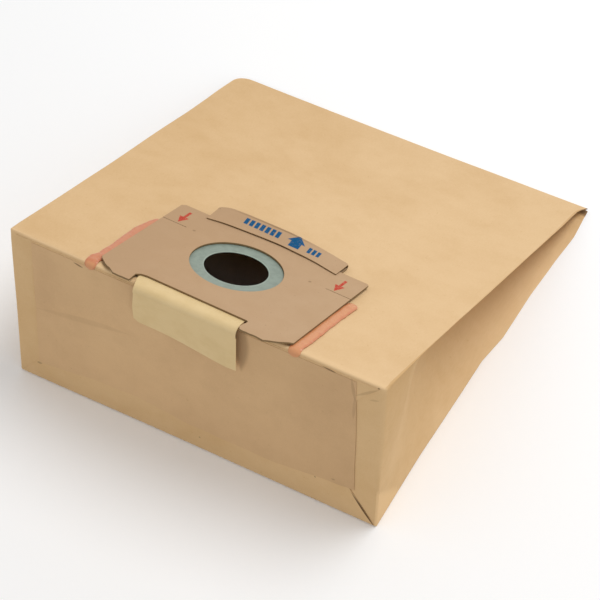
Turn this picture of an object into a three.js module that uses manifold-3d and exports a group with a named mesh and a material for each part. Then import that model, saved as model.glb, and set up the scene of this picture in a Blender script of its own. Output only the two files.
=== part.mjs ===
// A vacuum cleaner's paper dust bag, opened into a wedge and lying on its lower panel.
// Its block bottom faces the front (-Y), its flat glued end the rear (+Y), and a board collar with
// a rubber seal, a paper shutter strip and a pull tab sits on the sloping top panel.
// Millimetres, +Z up. The origin is on the ground, midway along the bag's length.
import * as THREE from "three";
import { mergeVertices } from "three/addons/utils/BufferGeometryUtils.js";
import Module from "manifold-3d";

const wasm = await Module();
wasm.setup();

// Bag: the block bottom at the front, the flat end at the rear
const BAG_WIDTH = 230;
const BAG_LENGTH = 256;
const FRONT_HEIGHT = 115;
const FRONT_LEAN = 9.3; // the front's top edge sits this far behind its bottom edge
const END_HEIGHT = 2.6; // panels and gusset leaves pressed together at the flat end
const END_SEAM = 8; // glued stretch along the flat end
const END_LIP = 1.6; // the lower panel reaches past the top panel
const TOP_SPREAD = 2; // each side of the top panel gains this much width by the flat end
const LOW_SPREAD = 4; // the same for the lower panel
const PAPER = 0.4; // two plies of bag paper

// Side gussets: each is as wide as the front is high, and folds in along its middle
const GUSSET_EASE = 200; // the crease reaches its full depth this far from the front
const GUSSET_EASE_POWER = 1.3;
const CREASE_START = 0.15; // shares of the bag's length between which the crease sharpens
const CREASE_SHARP = 0.6;
const SIDE_STEPS = 8; // even, so that one point of each side lies on the crease
const LENGTH_STEPS = 14;
const CORNER_CLIP = 9; // the soft far left corner
const CORNER_STEPS = 3;

// Block bottom: long flaps folded over the front, and a patch glued over them
const FLAP_THICKNESS = 0.4;
const FLAP_HEIGHT = 34;
const FLAP_RUN = 25; // the flap's slanting end takes this much off its length
const FLAP_INSET = 1;
const PATCH_THICKNESS = 0.3;
const PATCH_LEFT = 101;
const PATCH_RIGHT = 98.5;
const PATCH_TOP_MARGIN = 4;
const PATCH_LOW_LEFT = 15;
const PATCH_LOW_RIGHT = 23;

// Collar stack on the top panel, from the paper outwards
const LAYER_GAP = 0.2;
const STRIP_THICKNESS = 0.2;
const RING_THICKNESS = 0.5;
const PLATE_THICKNESS = 1.1;
const TAB_THICKNESS = 0.6;

// Collar plate, in its own frame: x to the right, y up the panel
const COLLAR_X = 0.35;
const COLLAR_UP = 42.5; // from the front's top edge to the plate's middle, up the panel
const COLLAR_TURN = THREE.MathUtils.degToRad(-2); // it was glued on slightly askew
const PLATE_WIDTH = 120.4;
const PLATE_DEPTH = 95.6;
const PLATE_CHAMFER_X = 13.5;
const PLATE_CHAMFER_Y = 9.5;
const CUTS_X = -2.3; // the cut-outs sit left of the plate's middle
const HOLE_R = 26.2;
const HOLE_UP = 9;
const NOTCH_WIDTH = 68.4;
const NOTCH_DEPTH = 11;
const SLIT_WIDTH = 0.8;
const SLIT_LENGTH = 15.5;
const SLIT_UP = 25.6;
const DOT_R = 0.9;
const DOT_DEPTH = 0.4;
const DOT_SPREAD = 37.2;

// Seal, inlet, shutter strip and pull tab
const SEAL_HOLE_R = 17.9;
const SEAL_OUTER_R = 31;
const INLET_R = 23;
const STRIP_WIDTH = 66;
const STRIP_HOLE_R = 24;
const STRIP_BEND_R = 4; // it bulges over the bag's edge
const STRIP_DROP = 27; // and hangs this far down below the bend
const TAB_WIDTH = 83.4;
const TAB_REACH = 11.1; // reaches this far behind the plate
const TAB_LAP = 5.6; // lies this far over the plate
const TAB_TUCK = 2.5; // its lower leaf stops this far behind the seal

// Glue strips along the plate's sides
const GLUE_WIDTH = 7.8;
const GLUE_LENGTH = 64;
const GLUE_HEIGHT = 1.3;
const GLUE_UNDER = 9;
const GLUE_SIDE_GAP = 0.4;
const GLUE_DROP = 5;
const GLUE_LIFT = 0.35;
const GLUE_BEND_R = 1.5;
const GLUE_END_R = 3.4;
const ROUND_STEPS = 64;
const BEND_STEPS = 6;

// Sizes that follow from those above
const HALF_WIDTH = BAG_WIDTH / 2;
const SLOPE = Math.atan2(FRONT_HEIGHT - END_HEIGHT, BAG_LENGTH - FRONT_LEAN);
const LEAN = Math.atan2(FRONT_LEAN, FRONT_HEIGHT);
const FRONT_SLANT = Math.hypot(FRONT_LEAN, FRONT_HEIGHT);
const STRIP_LIFT = LAYER_GAP;
const RING_LIFT = STRIP_LIFT + STRIP_THICKNESS + LAYER_GAP;
const PLATE_LIFT = RING_LIFT + Math.max(RING_THICKNESS, TAB_THICKNESS) + LAYER_GAP;
const TAB_TOP_LIFT = PLATE_LIFT + PLATE_THICKNESS + LAYER_GAP;
const TAB_REAR_UP = PLATE_DEPTH / 2 + TAB_REACH;
const TAB_FRONT_UP = PLATE_DEPTH / 2 - TAB_LAP;
const TAB_LEAF_UP = HOLE_UP + SEAL_OUTER_R + TAB_TUCK;
const PATCH_LIFT = FLAP_THICKNESS + LAYER_GAP;
const FRONT_CLEAR = PATCH_LIFT + PATCH_THICKNESS + LAYER_GAP;
const COLLAR_TOP = TAB_TOP_LIFT + TAB_THICKNESS;
const STRIP_STAND_OFF = FRONT_CLEAR;
const GLUE_STAND_OFF = FRONT_CLEAR + (GLUE_SIDE_GAP + GLUE_WIDTH) * Math.abs(Math.sin(COLLAR_TURN));

const KRAFT = new THREE.MeshStandardMaterial({ color: 0xdebc8f, roughness: 0.75, metalness: 0 });
const PATCH_KRAFT = new THREE.MeshStandardMaterial({ color: 0xb89871, roughness: 0.8, metalness: 0 });
const GREY_BOARD = new THREE.MeshStandardMaterial({ color: 0xbc9b79, roughness: 0.85, metalness: 0 });
const CREAM_PAPER = new THREE.MeshStandardMaterial({ color: 0xd0b88e, roughness: 0.6, metalness: 0 });
const RUBBER = new THREE.MeshStandardMaterial({ color: 0x8c9a8f, roughness: 0.5, metalness: 0 });
const GLUE = new THREE.MeshStandardMaterial({ color: 0xcd9b6e, roughness: 0.3, metalness: 0 });

// A closed geometry as a solid that can be joined and cut, moved by an optional matrix.
function toSolid(geometry, matrix = new THREE.Matrix4()) {
  const bare = geometry.clone().applyMatrix4(matrix);
  bare.deleteAttribute("normal");
  bare.deleteAttribute("uv");
  const merged = mergeVertices(bare, 1e-4);
  return new wasm.Manifold(
    new wasm.Mesh({
      numProp: 3,
      vertProperties: new Float32Array(merged.attributes.position.array),
      triVerts: new Uint32Array(merged.index.array),
    }),
  );
}

function toGeometry(solid) {
  const mesh = solid.getMesh();
  const geometry = new THREE.BufferGeometry();
  geometry.setAttribute("position", new THREE.BufferAttribute(mesh.vertProperties, 3));
  geometry.setIndex(new THREE.BufferAttribute(mesh.triVerts, 1));
  geometry.computeVertexNormals();
  return geometry;
}

function namedMesh(name, geometry, material) {
  const mesh = new THREE.Mesh(geometry, material);
  mesh.name = name;
  return mesh;
}

// An outline extruded upwards from the height given.
function slab(shape, lift, thickness) {
  const settings = { depth: thickness, bevelEnabled: false, curveSegments: ROUND_STEPS / 4 };
  return new THREE.ExtrudeGeometry(shape, settings).translate(0, 0, lift);
}

function outline(points) {
  return new THREE.Shape(points.map(([x, y]) => new THREE.Vector2(x, y)));
}

function rectangle(left, right, low, high) {
  return outline([[left, low], [right, low], [right, high], [left, high]]);
}

// A round post from one height to another, its axis up.
function post(radius, x, y, low, high) {
  const geometry = new THREE.CylinderGeometry(radius, radius, high - low, ROUND_STEPS);
  return geometry.rotateX(Math.PI / 2).translate(x, y, (low + high) / 2);
}

// A closed surface through rings with the same number of points, with flat caps on both ends.
function loft(rings) {
  const count = rings[0].length;
  const index = [];
  for (let i = 0; i + 1 < rings.length; i += 1) {
    for (let j = 0; j < count; j += 1) {
      const a = i * count + j;
      const b = i * count + ((j + 1) % count);
      index.push(a, b + count, b, a, a + count, b + count);
    }
  }
  const last = (rings.length - 1) * count;
  const flat = (ring) => ring.map((point) => new THREE.Vector2(point.x, point.z));
  for (const [a, b, c] of THREE.ShapeUtils.triangulateShape(flat(rings[0]), [])) {
    index.push(a, b, c);
  }
  for (const [a, b, c] of THREE.ShapeUtils.triangulateShape(flat(rings.at(-1)), [])) {
    index.push(last + c, last + b, last + a);
  }
  const geometry = new THREE.BufferGeometry().setFromPoints(rings.flat());
  geometry.setIndex(index);
  return geometry;
}

// How deep a gusset's crease lies at a share t of the bag's length.
function creaseDepth(t) {
  const leaf = FRONT_SLANT / 2;
  const opening = THREE.MathUtils.lerp(FRONT_SLANT, END_HEIGHT, t) / 2;
  const folded = Math.sqrt(leaf * leaf - opening * opening);
  const eased = Math.sin((Math.PI / 2) * Math.min(1, (t * BAG_LENGTH) / GUSSET_EASE));
  return folded * eased ** GUSSET_EASE_POWER;
}

// Share of the crease's depth at a share v of the gusset's height: a soft bow that turns into a fold.
function creaseShape(t, v) {
  const sharp = THREE.MathUtils.smoothstep(t, CREASE_START, CREASE_SHARP);
  const bow = 4 * v * (1 - v);
  const fold = 1 - Math.abs(2 * v - 1);
  return THREE.MathUtils.lerp(bow, fold, sharp);
}

// The bag's section at a share t of its length, drawn in by the wall for the inside.
function section(t, wall, clip) {
  const height = THREE.MathUtils.lerp(FRONT_HEIGHT, END_HEIGHT, t);
  const depth = creaseDepth(t);
  const leafAngle = Math.atan2(height / 2, depth);
  const cornerInset = (wall * (1 + Math.cos(leafAngle))) / Math.sin(leafAngle);
  const innerDepth = depth - wall / Math.tan(leafAngle);
  const alongFront = THREE.MathUtils.lerp(FRONT_LEAN, BAG_LENGTH, t);
  const alongLow = t * (BAG_LENGTH + END_LIP);
  const sidePoint = (side, v) => {
    const spread = t * THREE.MathUtils.lerp(LOW_SPREAD, TOP_SPREAD, v);
    const half = HALF_WIDTH + spread - cornerInset - innerDepth * creaseShape(t, v);
    const z = THREE.MathUtils.lerp(wall, height - wall, v);
    const y = THREE.MathUtils.lerp(alongLow, alongFront, z / height);
    const clipped = side < 0 ? clip : 0;
    return new THREE.Vector3(side * (half - clipped), y, z);
  };
  const shares = Array.from({ length: SIDE_STEPS + 1 }, (_, i) => i / SIDE_STEPS);
  const right = shares.map((v) => sidePoint(1, v));
  const left = shares.map((v) => sidePoint(-1, v)).reverse();
  return [...right, ...left];
}

// The bag's outer form. Its far left corner is rounded off over the last stretch.
function bagOuter() {
  const cornerShare = CORNER_CLIP / BAG_LENGTH;
  const shares = Array.from({ length: LENGTH_STEPS }, (_, i) => ((1 - cornerShare) * i) / LENGTH_STEPS);
  const rings = shares.map((t) => section(t, 0, 0));
  for (let i = 0; i <= CORNER_STEPS; i += 1) {
    const turn = ((Math.PI / 2) * i) / CORNER_STEPS;
    const t = 1 - cornerShare * (1 - Math.sin(turn));
    rings.push(section(t, 0, CORNER_CLIP * (1 - Math.cos(turn))));
  }
  return loft(rings);
}

function bagInner() {
  const first = PAPER / BAG_LENGTH;
  const last = 1 - END_SEAM / BAG_LENGTH;
  const rings = Array.from({ length: LENGTH_STEPS + 1 }, (_, i) => {
    return section(THREE.MathUtils.lerp(first, last, i / LENGTH_STEPS), PAPER, 0);
  });
  return loft(rings);
}

// Places the top panel's frame: x to the right, y up the panel from its front edge, z outwards.
function panelMatrix() {
  const turn = new THREE.Matrix4().makeRotationX(-SLOPE);
  return turn.setPosition(0, FRONT_LEAN, FRONT_HEIGHT);
}

// Places the front's frame: x to the right, y up the front from the ground, z outwards.
function frontMatrix() {
  return new THREE.Matrix4().makeRotationX(Math.PI / 2 - LEAN);
}

function collarMatrix() {
  const turn = new THREE.Matrix4().makeRotationZ(COLLAR_TURN);
  return turn.setPosition(COLLAR_X, COLLAR_UP, 0);
}

// Where the collar's hole lies in the top panel's frame.
function holeCentre() {
  return new THREE.Vector3(CUTS_X, HOLE_UP, 0).applyMatrix4(collarMatrix());
}

// A long flap of the block bottom, folded over the front from its lower edge.
function lowFlap() {
  const half = HALF_WIDTH - FLAP_INSET;
  const shape = outline([
    [-half, FLAP_INSET],
    [half, FLAP_INSET],
    [half - FLAP_RUN, FLAP_HEIGHT],
    [-half + FLAP_RUN, FLAP_HEIGHT],
  ]);
  return slab(shape, -PAPER / 2, FLAP_THICKNESS + PAPER / 2);
}

function topFlap() {
  return lowFlap().rotateZ(Math.PI).translate(0, FRONT_SLANT, 0);
}

function bag() {
  const centre = holeCentre();
  const inlet = post(INLET_R, centre.x, centre.y, -2 * PAPER, PAPER);
  const shell = toSolid(bagOuter())
    .add(toSolid(lowFlap(), frontMatrix()))
    .add(toSolid(topFlap(), frontMatrix()))
    .subtract(toSolid(bagInner()))
    .subtract(toSolid(inlet, panelMatrix()));
  return namedMesh("bag", toGeometry(shell), KRAFT);
}

function bottomPatch() {
  const high = FRONT_SLANT - PATCH_TOP_MARGIN;
  const shape = outline([
    [-PATCH_LEFT, PATCH_LOW_LEFT],
    [PATCH_RIGHT, PATCH_LOW_RIGHT],
    [PATCH_RIGHT, high],
    [-PATCH_LEFT, high],
  ]);
  return namedMesh("bottom_patch", slab(shape, PATCH_LIFT, PATCH_THICKNESS), PATCH_KRAFT);
}

// The plate's outline: chamfered front corners, and a notch where the shutter strip comes out.
function plateShape() {
  const half = PLATE_WIDTH / 2;
  const front = -PLATE_DEPTH / 2;
  const notchLeft = CUTS_X - NOTCH_WIDTH / 2;
  const notchRight = CUTS_X + NOTCH_WIDTH / 2;
  return outline([
    [-half, front + PLATE_CHAMFER_Y],
    [-half + PLATE_CHAMFER_X, front],
    [notchLeft, front],
    [notchLeft, front + NOTCH_DEPTH],
    [notchRight, front + NOTCH_DEPTH],
    [notchRight, front],
    [half - PLATE_CHAMFER_X, front],
    [half, front + PLATE_CHAMFER_Y],
    [half, -front],
    [-half, -front],
  ]);
}

function collarPlate() {
  const half = PLATE_WIDTH / 2;
  const top = PLATE_LIFT + PLATE_THICKNESS;
  const low = SLIT_UP - SLIT_WIDTH / 2;
  const high = SLIT_UP + SLIT_WIDTH / 2;
  let plate = toSolid(slab(plateShape(), PLATE_LIFT, PLATE_THICKNESS));
  plate = plate.subtract(toSolid(post(HOLE_R, CUTS_X, HOLE_UP, 0, 2 * top)));
  for (const side of [-1, 1]) {
    const ends = [side * (half - SLIT_LENGTH), side * (half + SLIT_WIDTH)].sort((a, b) => a - b);
    const slit = slab(rectangle(ends[0], ends[1], low, high), 0, 2 * top);
    const dot = post(DOT_R, CUTS_X + side * DOT_SPREAD, SLIT_UP, top - DOT_DEPTH, top + DOT_DEPTH);
    plate = plate.subtract(toSolid(slit)).subtract(toSolid(dot));
  }
  return namedMesh("collar_plate", toGeometry(plate), GREY_BOARD);
}

// The rubber seal under the plate's hole, a flat turned ring.
function sealRing() {
  const low = RING_LIFT;
  const high = RING_LIFT + RING_THICKNESS;
  const profile = [
    new THREE.Vector2(SEAL_HOLE_R, low),
    new THREE.Vector2(SEAL_OUTER_R, low),
    new THREE.Vector2(SEAL_OUTER_R, high),
    new THREE.Vector2(SEAL_HOLE_R, high),
    new THREE.Vector2(SEAL_HOLE_R, low),
  ];
  const ring = new THREE.LatheGeometry(profile, ROUND_STEPS).rotateX(Math.PI / 2);
  return namedMesh("seal_ring", ring.translate(CUTS_X, HOLE_UP, 0), RUBBER);
}

// The side view of a band that lies on the top panel and bends down over its front edge.
// x runs up the panel and y outwards, and the front goes down from the origin.
function overEdge(rear, thickness, lift, radius, drop, standOff) {
  const frontTurn = Math.PI / 2 - LEAN + SLOPE;
  const down = new THREE.Vector2(-Math.cos(frontTurn), -Math.sin(frontTurn));
  const out = new THREE.Vector2(-Math.sin(frontTurn), Math.cos(frontTurn));
  const centre = new THREE.Vector2(0, lift - radius);
  const bend = Array.from({ length: BEND_STEPS + 1 }, (_, i) => {
    const angle = (frontTurn * i) / BEND_STEPS;
    return new THREE.Vector2(-Math.sin(angle), Math.cos(angle));
  });
  const start = centre.clone().addScaledVector(out, radius);
  const away = standOff - start.dot(out);
  const end = start.clone().addScaledVector(down, drop).addScaledVector(out, away);
  const along = end.clone().sub(start).normalize();
  const across = new THREE.Vector2(along.y, -along.x);
  const inside = bend.map((way) => centre.clone().addScaledVector(way, radius));
  const outside = bend.map((way) => centre.clone().addScaledVector(way, radius + thickness));
  const points = [
    new THREE.Vector2(rear, lift),
    ...inside,
    end,
    end.clone().addScaledVector(across, thickness),
    ...outside.reverse(),
    new THREE.Vector2(rear, lift + thickness),
  ];
  return new THREE.Shape(points);
}

// The side view given, extruded over a width and stood up in the top panel's frame.
function band(shape, left, width) {
  const settings = { depth: width, bevelEnabled: false };
  const geometry = new THREE.ExtrudeGeometry(shape, settings);
  return geometry.rotateX(Math.PI / 2).rotateZ(Math.PI / 2).translate(left, 0, 0);
}

function closingStrip() {
  const centre = holeCentre();
  const rear = COLLAR_UP + TAB_REAR_UP - TAB_THICKNESS;
  const side = overEdge(rear, STRIP_THICKNESS, STRIP_LIFT, STRIP_BEND_R, STRIP_DROP, STRIP_STAND_OFF);
  const notch = new THREE.Vector3(CUTS_X, -PLATE_DEPTH / 2, 0).applyMatrix4(collarMatrix());
  const whole = toSolid(band(side, notch.x - STRIP_WIDTH / 2, STRIP_WIDTH));
  const hole = toSolid(post(STRIP_HOLE_R, centre.x, centre.y, 0, RING_LIFT));
  return namedMesh("closing_strip", toGeometry(whole.subtract(hole)), CREAM_PAPER);
}

// The pull tab, one folded board: a leaf under the plate's rear edge, folded back over it.
function pullTab() {
  const low = RING_LIFT;
  const side = outline([
    [TAB_LEAF_UP, low],
    [TAB_REAR_UP, low],
    [TAB_REAR_UP, COLLAR_TOP],
    [TAB_FRONT_UP, COLLAR_TOP],
    [TAB_FRONT_UP, TAB_TOP_LIFT],
    [TAB_REAR_UP - TAB_THICKNESS, TAB_TOP_LIFT],
    [TAB_REAR_UP - TAB_THICKNESS, low + TAB_THICKNESS],
    [TAB_LEAF_UP, low + TAB_THICKNESS],
  ]);
  return namedMesh("pull_tab", band(side, -TAB_WIDTH / 2, TAB_WIDTH), GREY_BOARD);
}

// A strip of hot glue along one side of the plate. A thin tongue of it holds the plate from below.
function glueStrip(name, side) {
  const view = overEdge(GLUE_LENGTH, GLUE_HEIGHT, GLUE_LIFT, GLUE_BEND_R, GLUE_DROP, GLUE_STAND_OFF);
  const edge = GLUE_SIDE_GAP;
  const bead = toSolid(band(view, side > 0 ? edge : -edge - GLUE_WIDTH, GLUE_WIDTH));
  const ends = [side * (edge + GLUE_WIDTH / 2), -side * GLUE_UNDER].sort((a, b) => a - b);
  const tongueShape = rectangle(ends[0], ends[1], GLUE_END_R, GLUE_LENGTH - GLUE_END_R);
  const tongue = toSolid(slab(tongueShape, GLUE_LIFT, PLATE_LIFT - LAYER_GAP - GLUE_LIFT));
  const corner = side * (edge + GLUE_WIDTH);
  const clip = outline([
    [corner, GLUE_LENGTH - GLUE_END_R],
    [corner, GLUE_LENGTH + GLUE_END_R],
    [corner - side * GLUE_END_R, GLUE_LENGTH + GLUE_END_R],
    [corner - side * GLUE_END_R, GLUE_LENGTH],
  ]);
  const whole = bead.add(tongue).subtract(toSolid(slab(clip, 0, 2 * GLUE_HEIGHT)));
  const mesh = namedMesh(name, toGeometry(whole), GLUE);
  const foot = new THREE.Vector3((side * PLATE_WIDTH) / 2, -COLLAR_UP, 0).applyMatrix4(collarMatrix());
  mesh.position.set(foot.x, 0, 0);
  mesh.rotation.z = COLLAR_TURN;
  return mesh;
}

// The collar: everything that is square with the plate.
function collar() {
  const group = new THREE.Group();
  group.add(collarPlate(), sealRing(), pullTab());
  group.position.set(COLLAR_X, COLLAR_UP, 0);
  group.rotation.z = COLLAR_TURN;
  return group;
}

// All that lies on the top panel, in that panel's frame.
function topPanelParts() {
  const group = new THREE.Group();
  group.add(collar(), closingStrip(), glueStrip("glue_strip_left", -1), glueStrip("glue_strip_right", 1));
  group.position.set(0, FRONT_LEAN, FRONT_HEIGHT);
  group.rotation.x = -SLOPE;
  return group;
}

function frontParts() {
  const group = new THREE.Group();
  group.add(bottomPatch());
  group.rotation.x = Math.PI / 2 - LEAN;
  return group;
}

const dustBag = new THREE.Group();
dustBag.add(bag(), frontParts(), topPanelParts());
dustBag.position.y = -(BAG_LENGTH + END_LIP) / 2;

export default dustBag;
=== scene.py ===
"""A vacuum cleaner's paper dust bag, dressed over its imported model.

The gusseted kraft bag lies opened into a wedge. On it are a patch over the block bottom, a board
collar with a rubber seal, a paper shutter strip, a folded board pull tab and two strips of hot glue.
Run as a script, it builds every piece with its material, the floor, the lights and the camera.
"""

import math

import bmesh
import bpy
import numpy as np
from bpy.props import FloatProperty, FloatVectorProperty, PointerProperty
from mathutils import Matrix, Vector, noise


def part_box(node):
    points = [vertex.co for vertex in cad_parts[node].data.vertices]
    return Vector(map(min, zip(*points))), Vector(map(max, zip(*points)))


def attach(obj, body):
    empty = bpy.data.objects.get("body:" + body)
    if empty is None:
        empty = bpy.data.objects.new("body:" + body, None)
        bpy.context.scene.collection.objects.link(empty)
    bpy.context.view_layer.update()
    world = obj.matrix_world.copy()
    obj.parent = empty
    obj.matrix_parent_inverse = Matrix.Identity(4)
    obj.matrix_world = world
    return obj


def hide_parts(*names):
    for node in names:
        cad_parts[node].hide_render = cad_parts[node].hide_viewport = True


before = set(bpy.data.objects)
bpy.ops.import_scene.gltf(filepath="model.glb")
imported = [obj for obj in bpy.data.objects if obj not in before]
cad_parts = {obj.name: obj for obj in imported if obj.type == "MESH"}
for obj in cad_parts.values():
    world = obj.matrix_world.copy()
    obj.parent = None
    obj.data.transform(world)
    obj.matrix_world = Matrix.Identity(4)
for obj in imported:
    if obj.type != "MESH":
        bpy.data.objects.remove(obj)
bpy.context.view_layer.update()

bl_info = {
    "name": "Vacuum Dust Bag",
    "version": (1, 0, 0),
    "blender": (4, 5, 0),
    "location": "View3D > Sidebar > Dust Bag",
    "description": "Builds a paper vacuum dust bag with its collar, seal, shutter strip, tab and glue",
    "category": "Object",
}

BAG_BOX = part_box("bag")
SEAL_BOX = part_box("seal_ring")
BODY = "root"
MM = 0.001


# Settings that a user would change


def length(name, description, default):
    """A length in metres."""
    return FloatProperty(
        name=name, description=description, default=default, min=0.0, precision=5,
        subtype="DISTANCE", unit="LENGTH",
    )


def turn(name, description, degrees):
    """An angle, given in degrees."""
    return FloatProperty(
        name=name, description=description, default=math.radians(degrees), subtype="ANGLE", unit="ROTATION"
    )


def colour(name, description, red, green, blue):
    """A colour, given as it looks on a screen, from 0 to 255."""
    def linear(level):
        share = level / 255
        return share / 12.92 if share <= 0.04045 else ((share + 0.055) / 1.055) ** 2.4

    default = (linear(red), linear(green), linear(blue), 1.0)
    return FloatVectorProperty(
        name=name, description=description, default=default, size=4, min=0.0, max=1.0, subtype="COLOR"
    )


class BagSizes(bpy.types.PropertyGroup):
    """Sizes of the paper bag."""

    width: length("Width", "Width of the block bottom", 230 * MM)
    length: length("Length", "From the block bottom's foot to the top panel's flat end", 256 * MM)
    front_height: length("Front Height", "Height of the block bottom", BAG_BOX[1].z)
    front_lean: length("Front Lean", "How far the front's top edge sits behind its foot", 9.3 * MM)
    end_height: length("End Height", "Height of the layers at the flat end", 2.6 * MM)
    end_lip: length("End Lip", "How far the lower panel reaches past the top panel", 1.6 * MM)
    top_spread: length("Top Spread", "Width that each side of the top panel gains", 2 * MM)
    low_spread: length("Low Spread", "Width that each side of the lower panel gains", 4 * MM)
    paper: length("Paper", "Thickness of the two plies", 0.4 * MM)
    fold_radius: length("Fold Radius", "Roundness of the paper's crisp folds", 1.0 * MM)
    top_fold_radius: length("Top Fold Radius", "Roundness of the fold between front and top", 2.5 * MM)
    side_fold_radius: length("Side Fold Radius", "Roundness of the front's right fold, high up", 3.0 * MM)
    mesh_step: length("Mesh Step", "Distance between the mesh's lines", 2.6 * MM)
    gusset_ease: length("Gusset Ease", "The side crease is fully deep this far from the front", 200 * MM)
    corner_clip: length("Corner Clip", "Roundness of the soft far left corner", 9 * MM)
    inlet_radius: length("Inlet Radius", "Radius of the hole in the top panel", 23 * MM)
    crumple: length("Crumple", "Height of the front's soft unevenness", 1.1 * MM)
    sag: length("Sag", "Height of the top panel's soft unevenness", 0.55 * MM)


class CollarSizes(bpy.types.PropertyGroup):
    """Sizes of the collar and of what belongs to it."""

    across: length("Across", "Offset of the collar's middle to the right", 0.35 * MM)
    up: length("Up", "From the panel's front edge to the collar's middle", 42.5 * MM)
    askew: turn("Askew", "Turn of the collar on the panel", -2)
    plate_width: length("Plate Width", "Width of the board plate", 120.4 * MM)
    plate_depth: length("Plate Depth", "Depth of the board plate", 95.6 * MM)
    plate_thickness: length("Plate Thickness", "Thickness of the board plate", 1.1 * MM)
    plate_lift: length("Plate Lift", "Height of the plate's underside over the paper", 1.4 * MM)
    hole_radius: length("Hole Radius", "Radius of the plate's hole", 26.2 * MM)
    seal_inner: length("Seal Inner Radius", "Radius of the seal's hole", 17.9 * MM)
    seal_outer: length("Seal Outer Radius", "Radius of the seal's rim", 31 * MM)
    seal_thickness: length("Seal Thickness", "Thickness of the rubber", 0.5 * MM)
    seal_lift: length("Seal Lift", "Height of the seal's underside over the paper", 0.6 * MM)
    tab_width: length("Tab Width", "Width of the pull tab", 83.4 * MM)
    tab_thickness: length("Tab Thickness", "Thickness of the pull tab's board", 0.6 * MM)
    tab_reach: length("Tab Reach", "How far the tab reaches behind the plate", 11.1 * MM)
    tab_lap: length("Tab Lap", "How far the tab lies over the plate", 5.6 * MM)
    tab_spring: length("Tab Spring", "How far the tab's fold springs up in its middle", 4.4 * MM)
    strip_width: length("Strip Width", "Width of the shutter strip", 63 * MM)
    strip_drop: length("Strip Drop", "How far the strip hangs down below its bend", 27 * MM)
    glue_width: length("Glue Width", "Width of a strip of glue", 6.8 * MM)
    glue_height: length("Glue Height", "Height of a strip of glue", 0.85 * MM)


class Finishes(bpy.types.PropertyGroup):
    """Colours of the papers, boards, rubber, glue and inks."""

    kraft: colour("Kraft Paper", "The bag's brown paper", 224, 190, 145)
    # This colour is also the painted shade that the bag's shading tone mixes in below 0.
    kraft_fibres_and_shade: colour("Kraft Fibres", "The darker fibres and blotches of the bag's paper", 206, 168, 118)
    patch: colour("Patch Paper", "The paper glued over the block bottom", 222, 186, 143)
    lining: colour("Inner Ply", "The bag's inner paper", 232, 222, 216)
    # This colour is also the painted shade that the patch's shading tone mixes in.
    patch_blotches_and_shade: colour("Patch Fibres", "The patch's darker blotches", 200, 164, 125)
    cream: colour("Cream Paper", "The shutter strip's paper", 229, 203, 155)
    board: colour("Grey Board", "The face of the plate and tab", 190, 158, 124)
    board_fleck: colour("Board Flecks", "Darker specks in the grey board", 158, 126, 96)
    # This colour is partly the cut edges' own and partly painted shade; it also paints shade in the punched
    # dots.
    board_cut_and_shade: colour("Board Edge", "The board's cut edges", 136, 111, 78)
    rubber: colour("Rubber", "The seal", 131, 143, 131)
    # This colour also paints shadow: the slit, creases and strip marks on the front, and the tip of the flat
    # end.
    crack_and_shadow: colour("Cracks", "Cracks and dark creases in the paper", 92, 60, 34)
    glue: colour("Glue", "The hot glue", 214, 147, 98)
    glue_rim: colour("Glue Rim", "The thicker rim of the glue", 199, 119, 79)
    red_ink: colour("Red Ink", "The two small arrows on the plate", 188, 66, 50)
    blue_ink: colour("Blue Ink", "The print on the pull tab", 10, 82, 126)
    floor: colour("Floor", "The floor", 238, 232, 216)


# Numbers in arrays


def lerp(low, high, share):
    """From low at share 0 to high at share 1."""
    return low + (high - low) * share


def ease(value, low, high):
    """From 0 at low to 1 at high, with soft ends."""
    share = np.clip((value - low) / (high - low), 0, 1)
    return share * share * (3 - 2 * share)


def faded(place, whole, first, last):
    """1 along the middle of a whole length, and eased down to 0 over the first and the last bit of it."""
    return ease(place, 0, first) * ease(whole - place, 0, last)


def rough(points, size, seed):
    """Soft unevenness between about -1 and 1 at each point, with lumps of the size given."""
    shift = Vector((13.7 * seed, 5.1 * seed, 29.3 * seed))
    return np.array([noise.noise(Vector(point) / size + shift) for point in points])


def soft_line(x, knots, values):
    """A line through points, with its corners softened."""
    reach = 2.5 * MM
    shifts = np.linspace(-reach, reach, 9)
    return np.mean([np.interp(x + shift, knots, values) for shift in shifts], axis=0)


def rough_plane(x, y, size, seed):
    """The same unevenness over grids of flat coordinates."""
    flat = np.stack([x.ravel(), y.ravel(), np.zeros(x.size)], axis=1)
    return rough(flat, size, seed).reshape(x.shape)


def crease(x, y, start, end, width):
    """1 on the line from start to end, and falling to 0 beside and beyond it."""
    run = np.array(end) - np.array(start)
    share = ((x - start[0]) * run[0] + (y - start[1]) * run[1]) / (run @ run)
    near = np.clip(share, 0, 1)
    distance = np.hypot(x - start[0] - near * run[0], y - start[1] - near * run[1])
    return np.exp(-((distance / width) ** 2))


def placed(matrix, points):
    """Points moved by a matrix."""
    turned = np.array(matrix.to_3x3())
    return points @ turned.T + np.array(matrix.translation)


def outwards(matrix):
    """The direction of a frame's third axis."""
    return np.array(matrix.to_3x3())[:, 2]


def spaced(whole, step):
    """Shares of an edge: close together by the folds at its ends, and even between."""
    from_fold = (0, 0.3, 0.65, 1.05, 1.55, 2.2, 3.0, 4.0, 5.3)
    near = np.array(from_fold) * MM
    count = round((whole - 2 * near[-1]) / step) + 1
    even = np.linspace(near[-1], whole - near[-1], count)[1:-1]
    return np.concatenate([near, even, (whole - near)[::-1]]) / whole


# Meshes from arrays


def grid_faces(ids, flip=False):
    """Quads of a grid of point numbers."""
    quads = np.stack([ids[:-1, :-1], ids[1:, :-1], ids[1:, 1:], ids[:-1, 1:]], axis=-1).reshape(-1, 4)
    return quads[:, ::-1] if flip else quads


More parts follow.
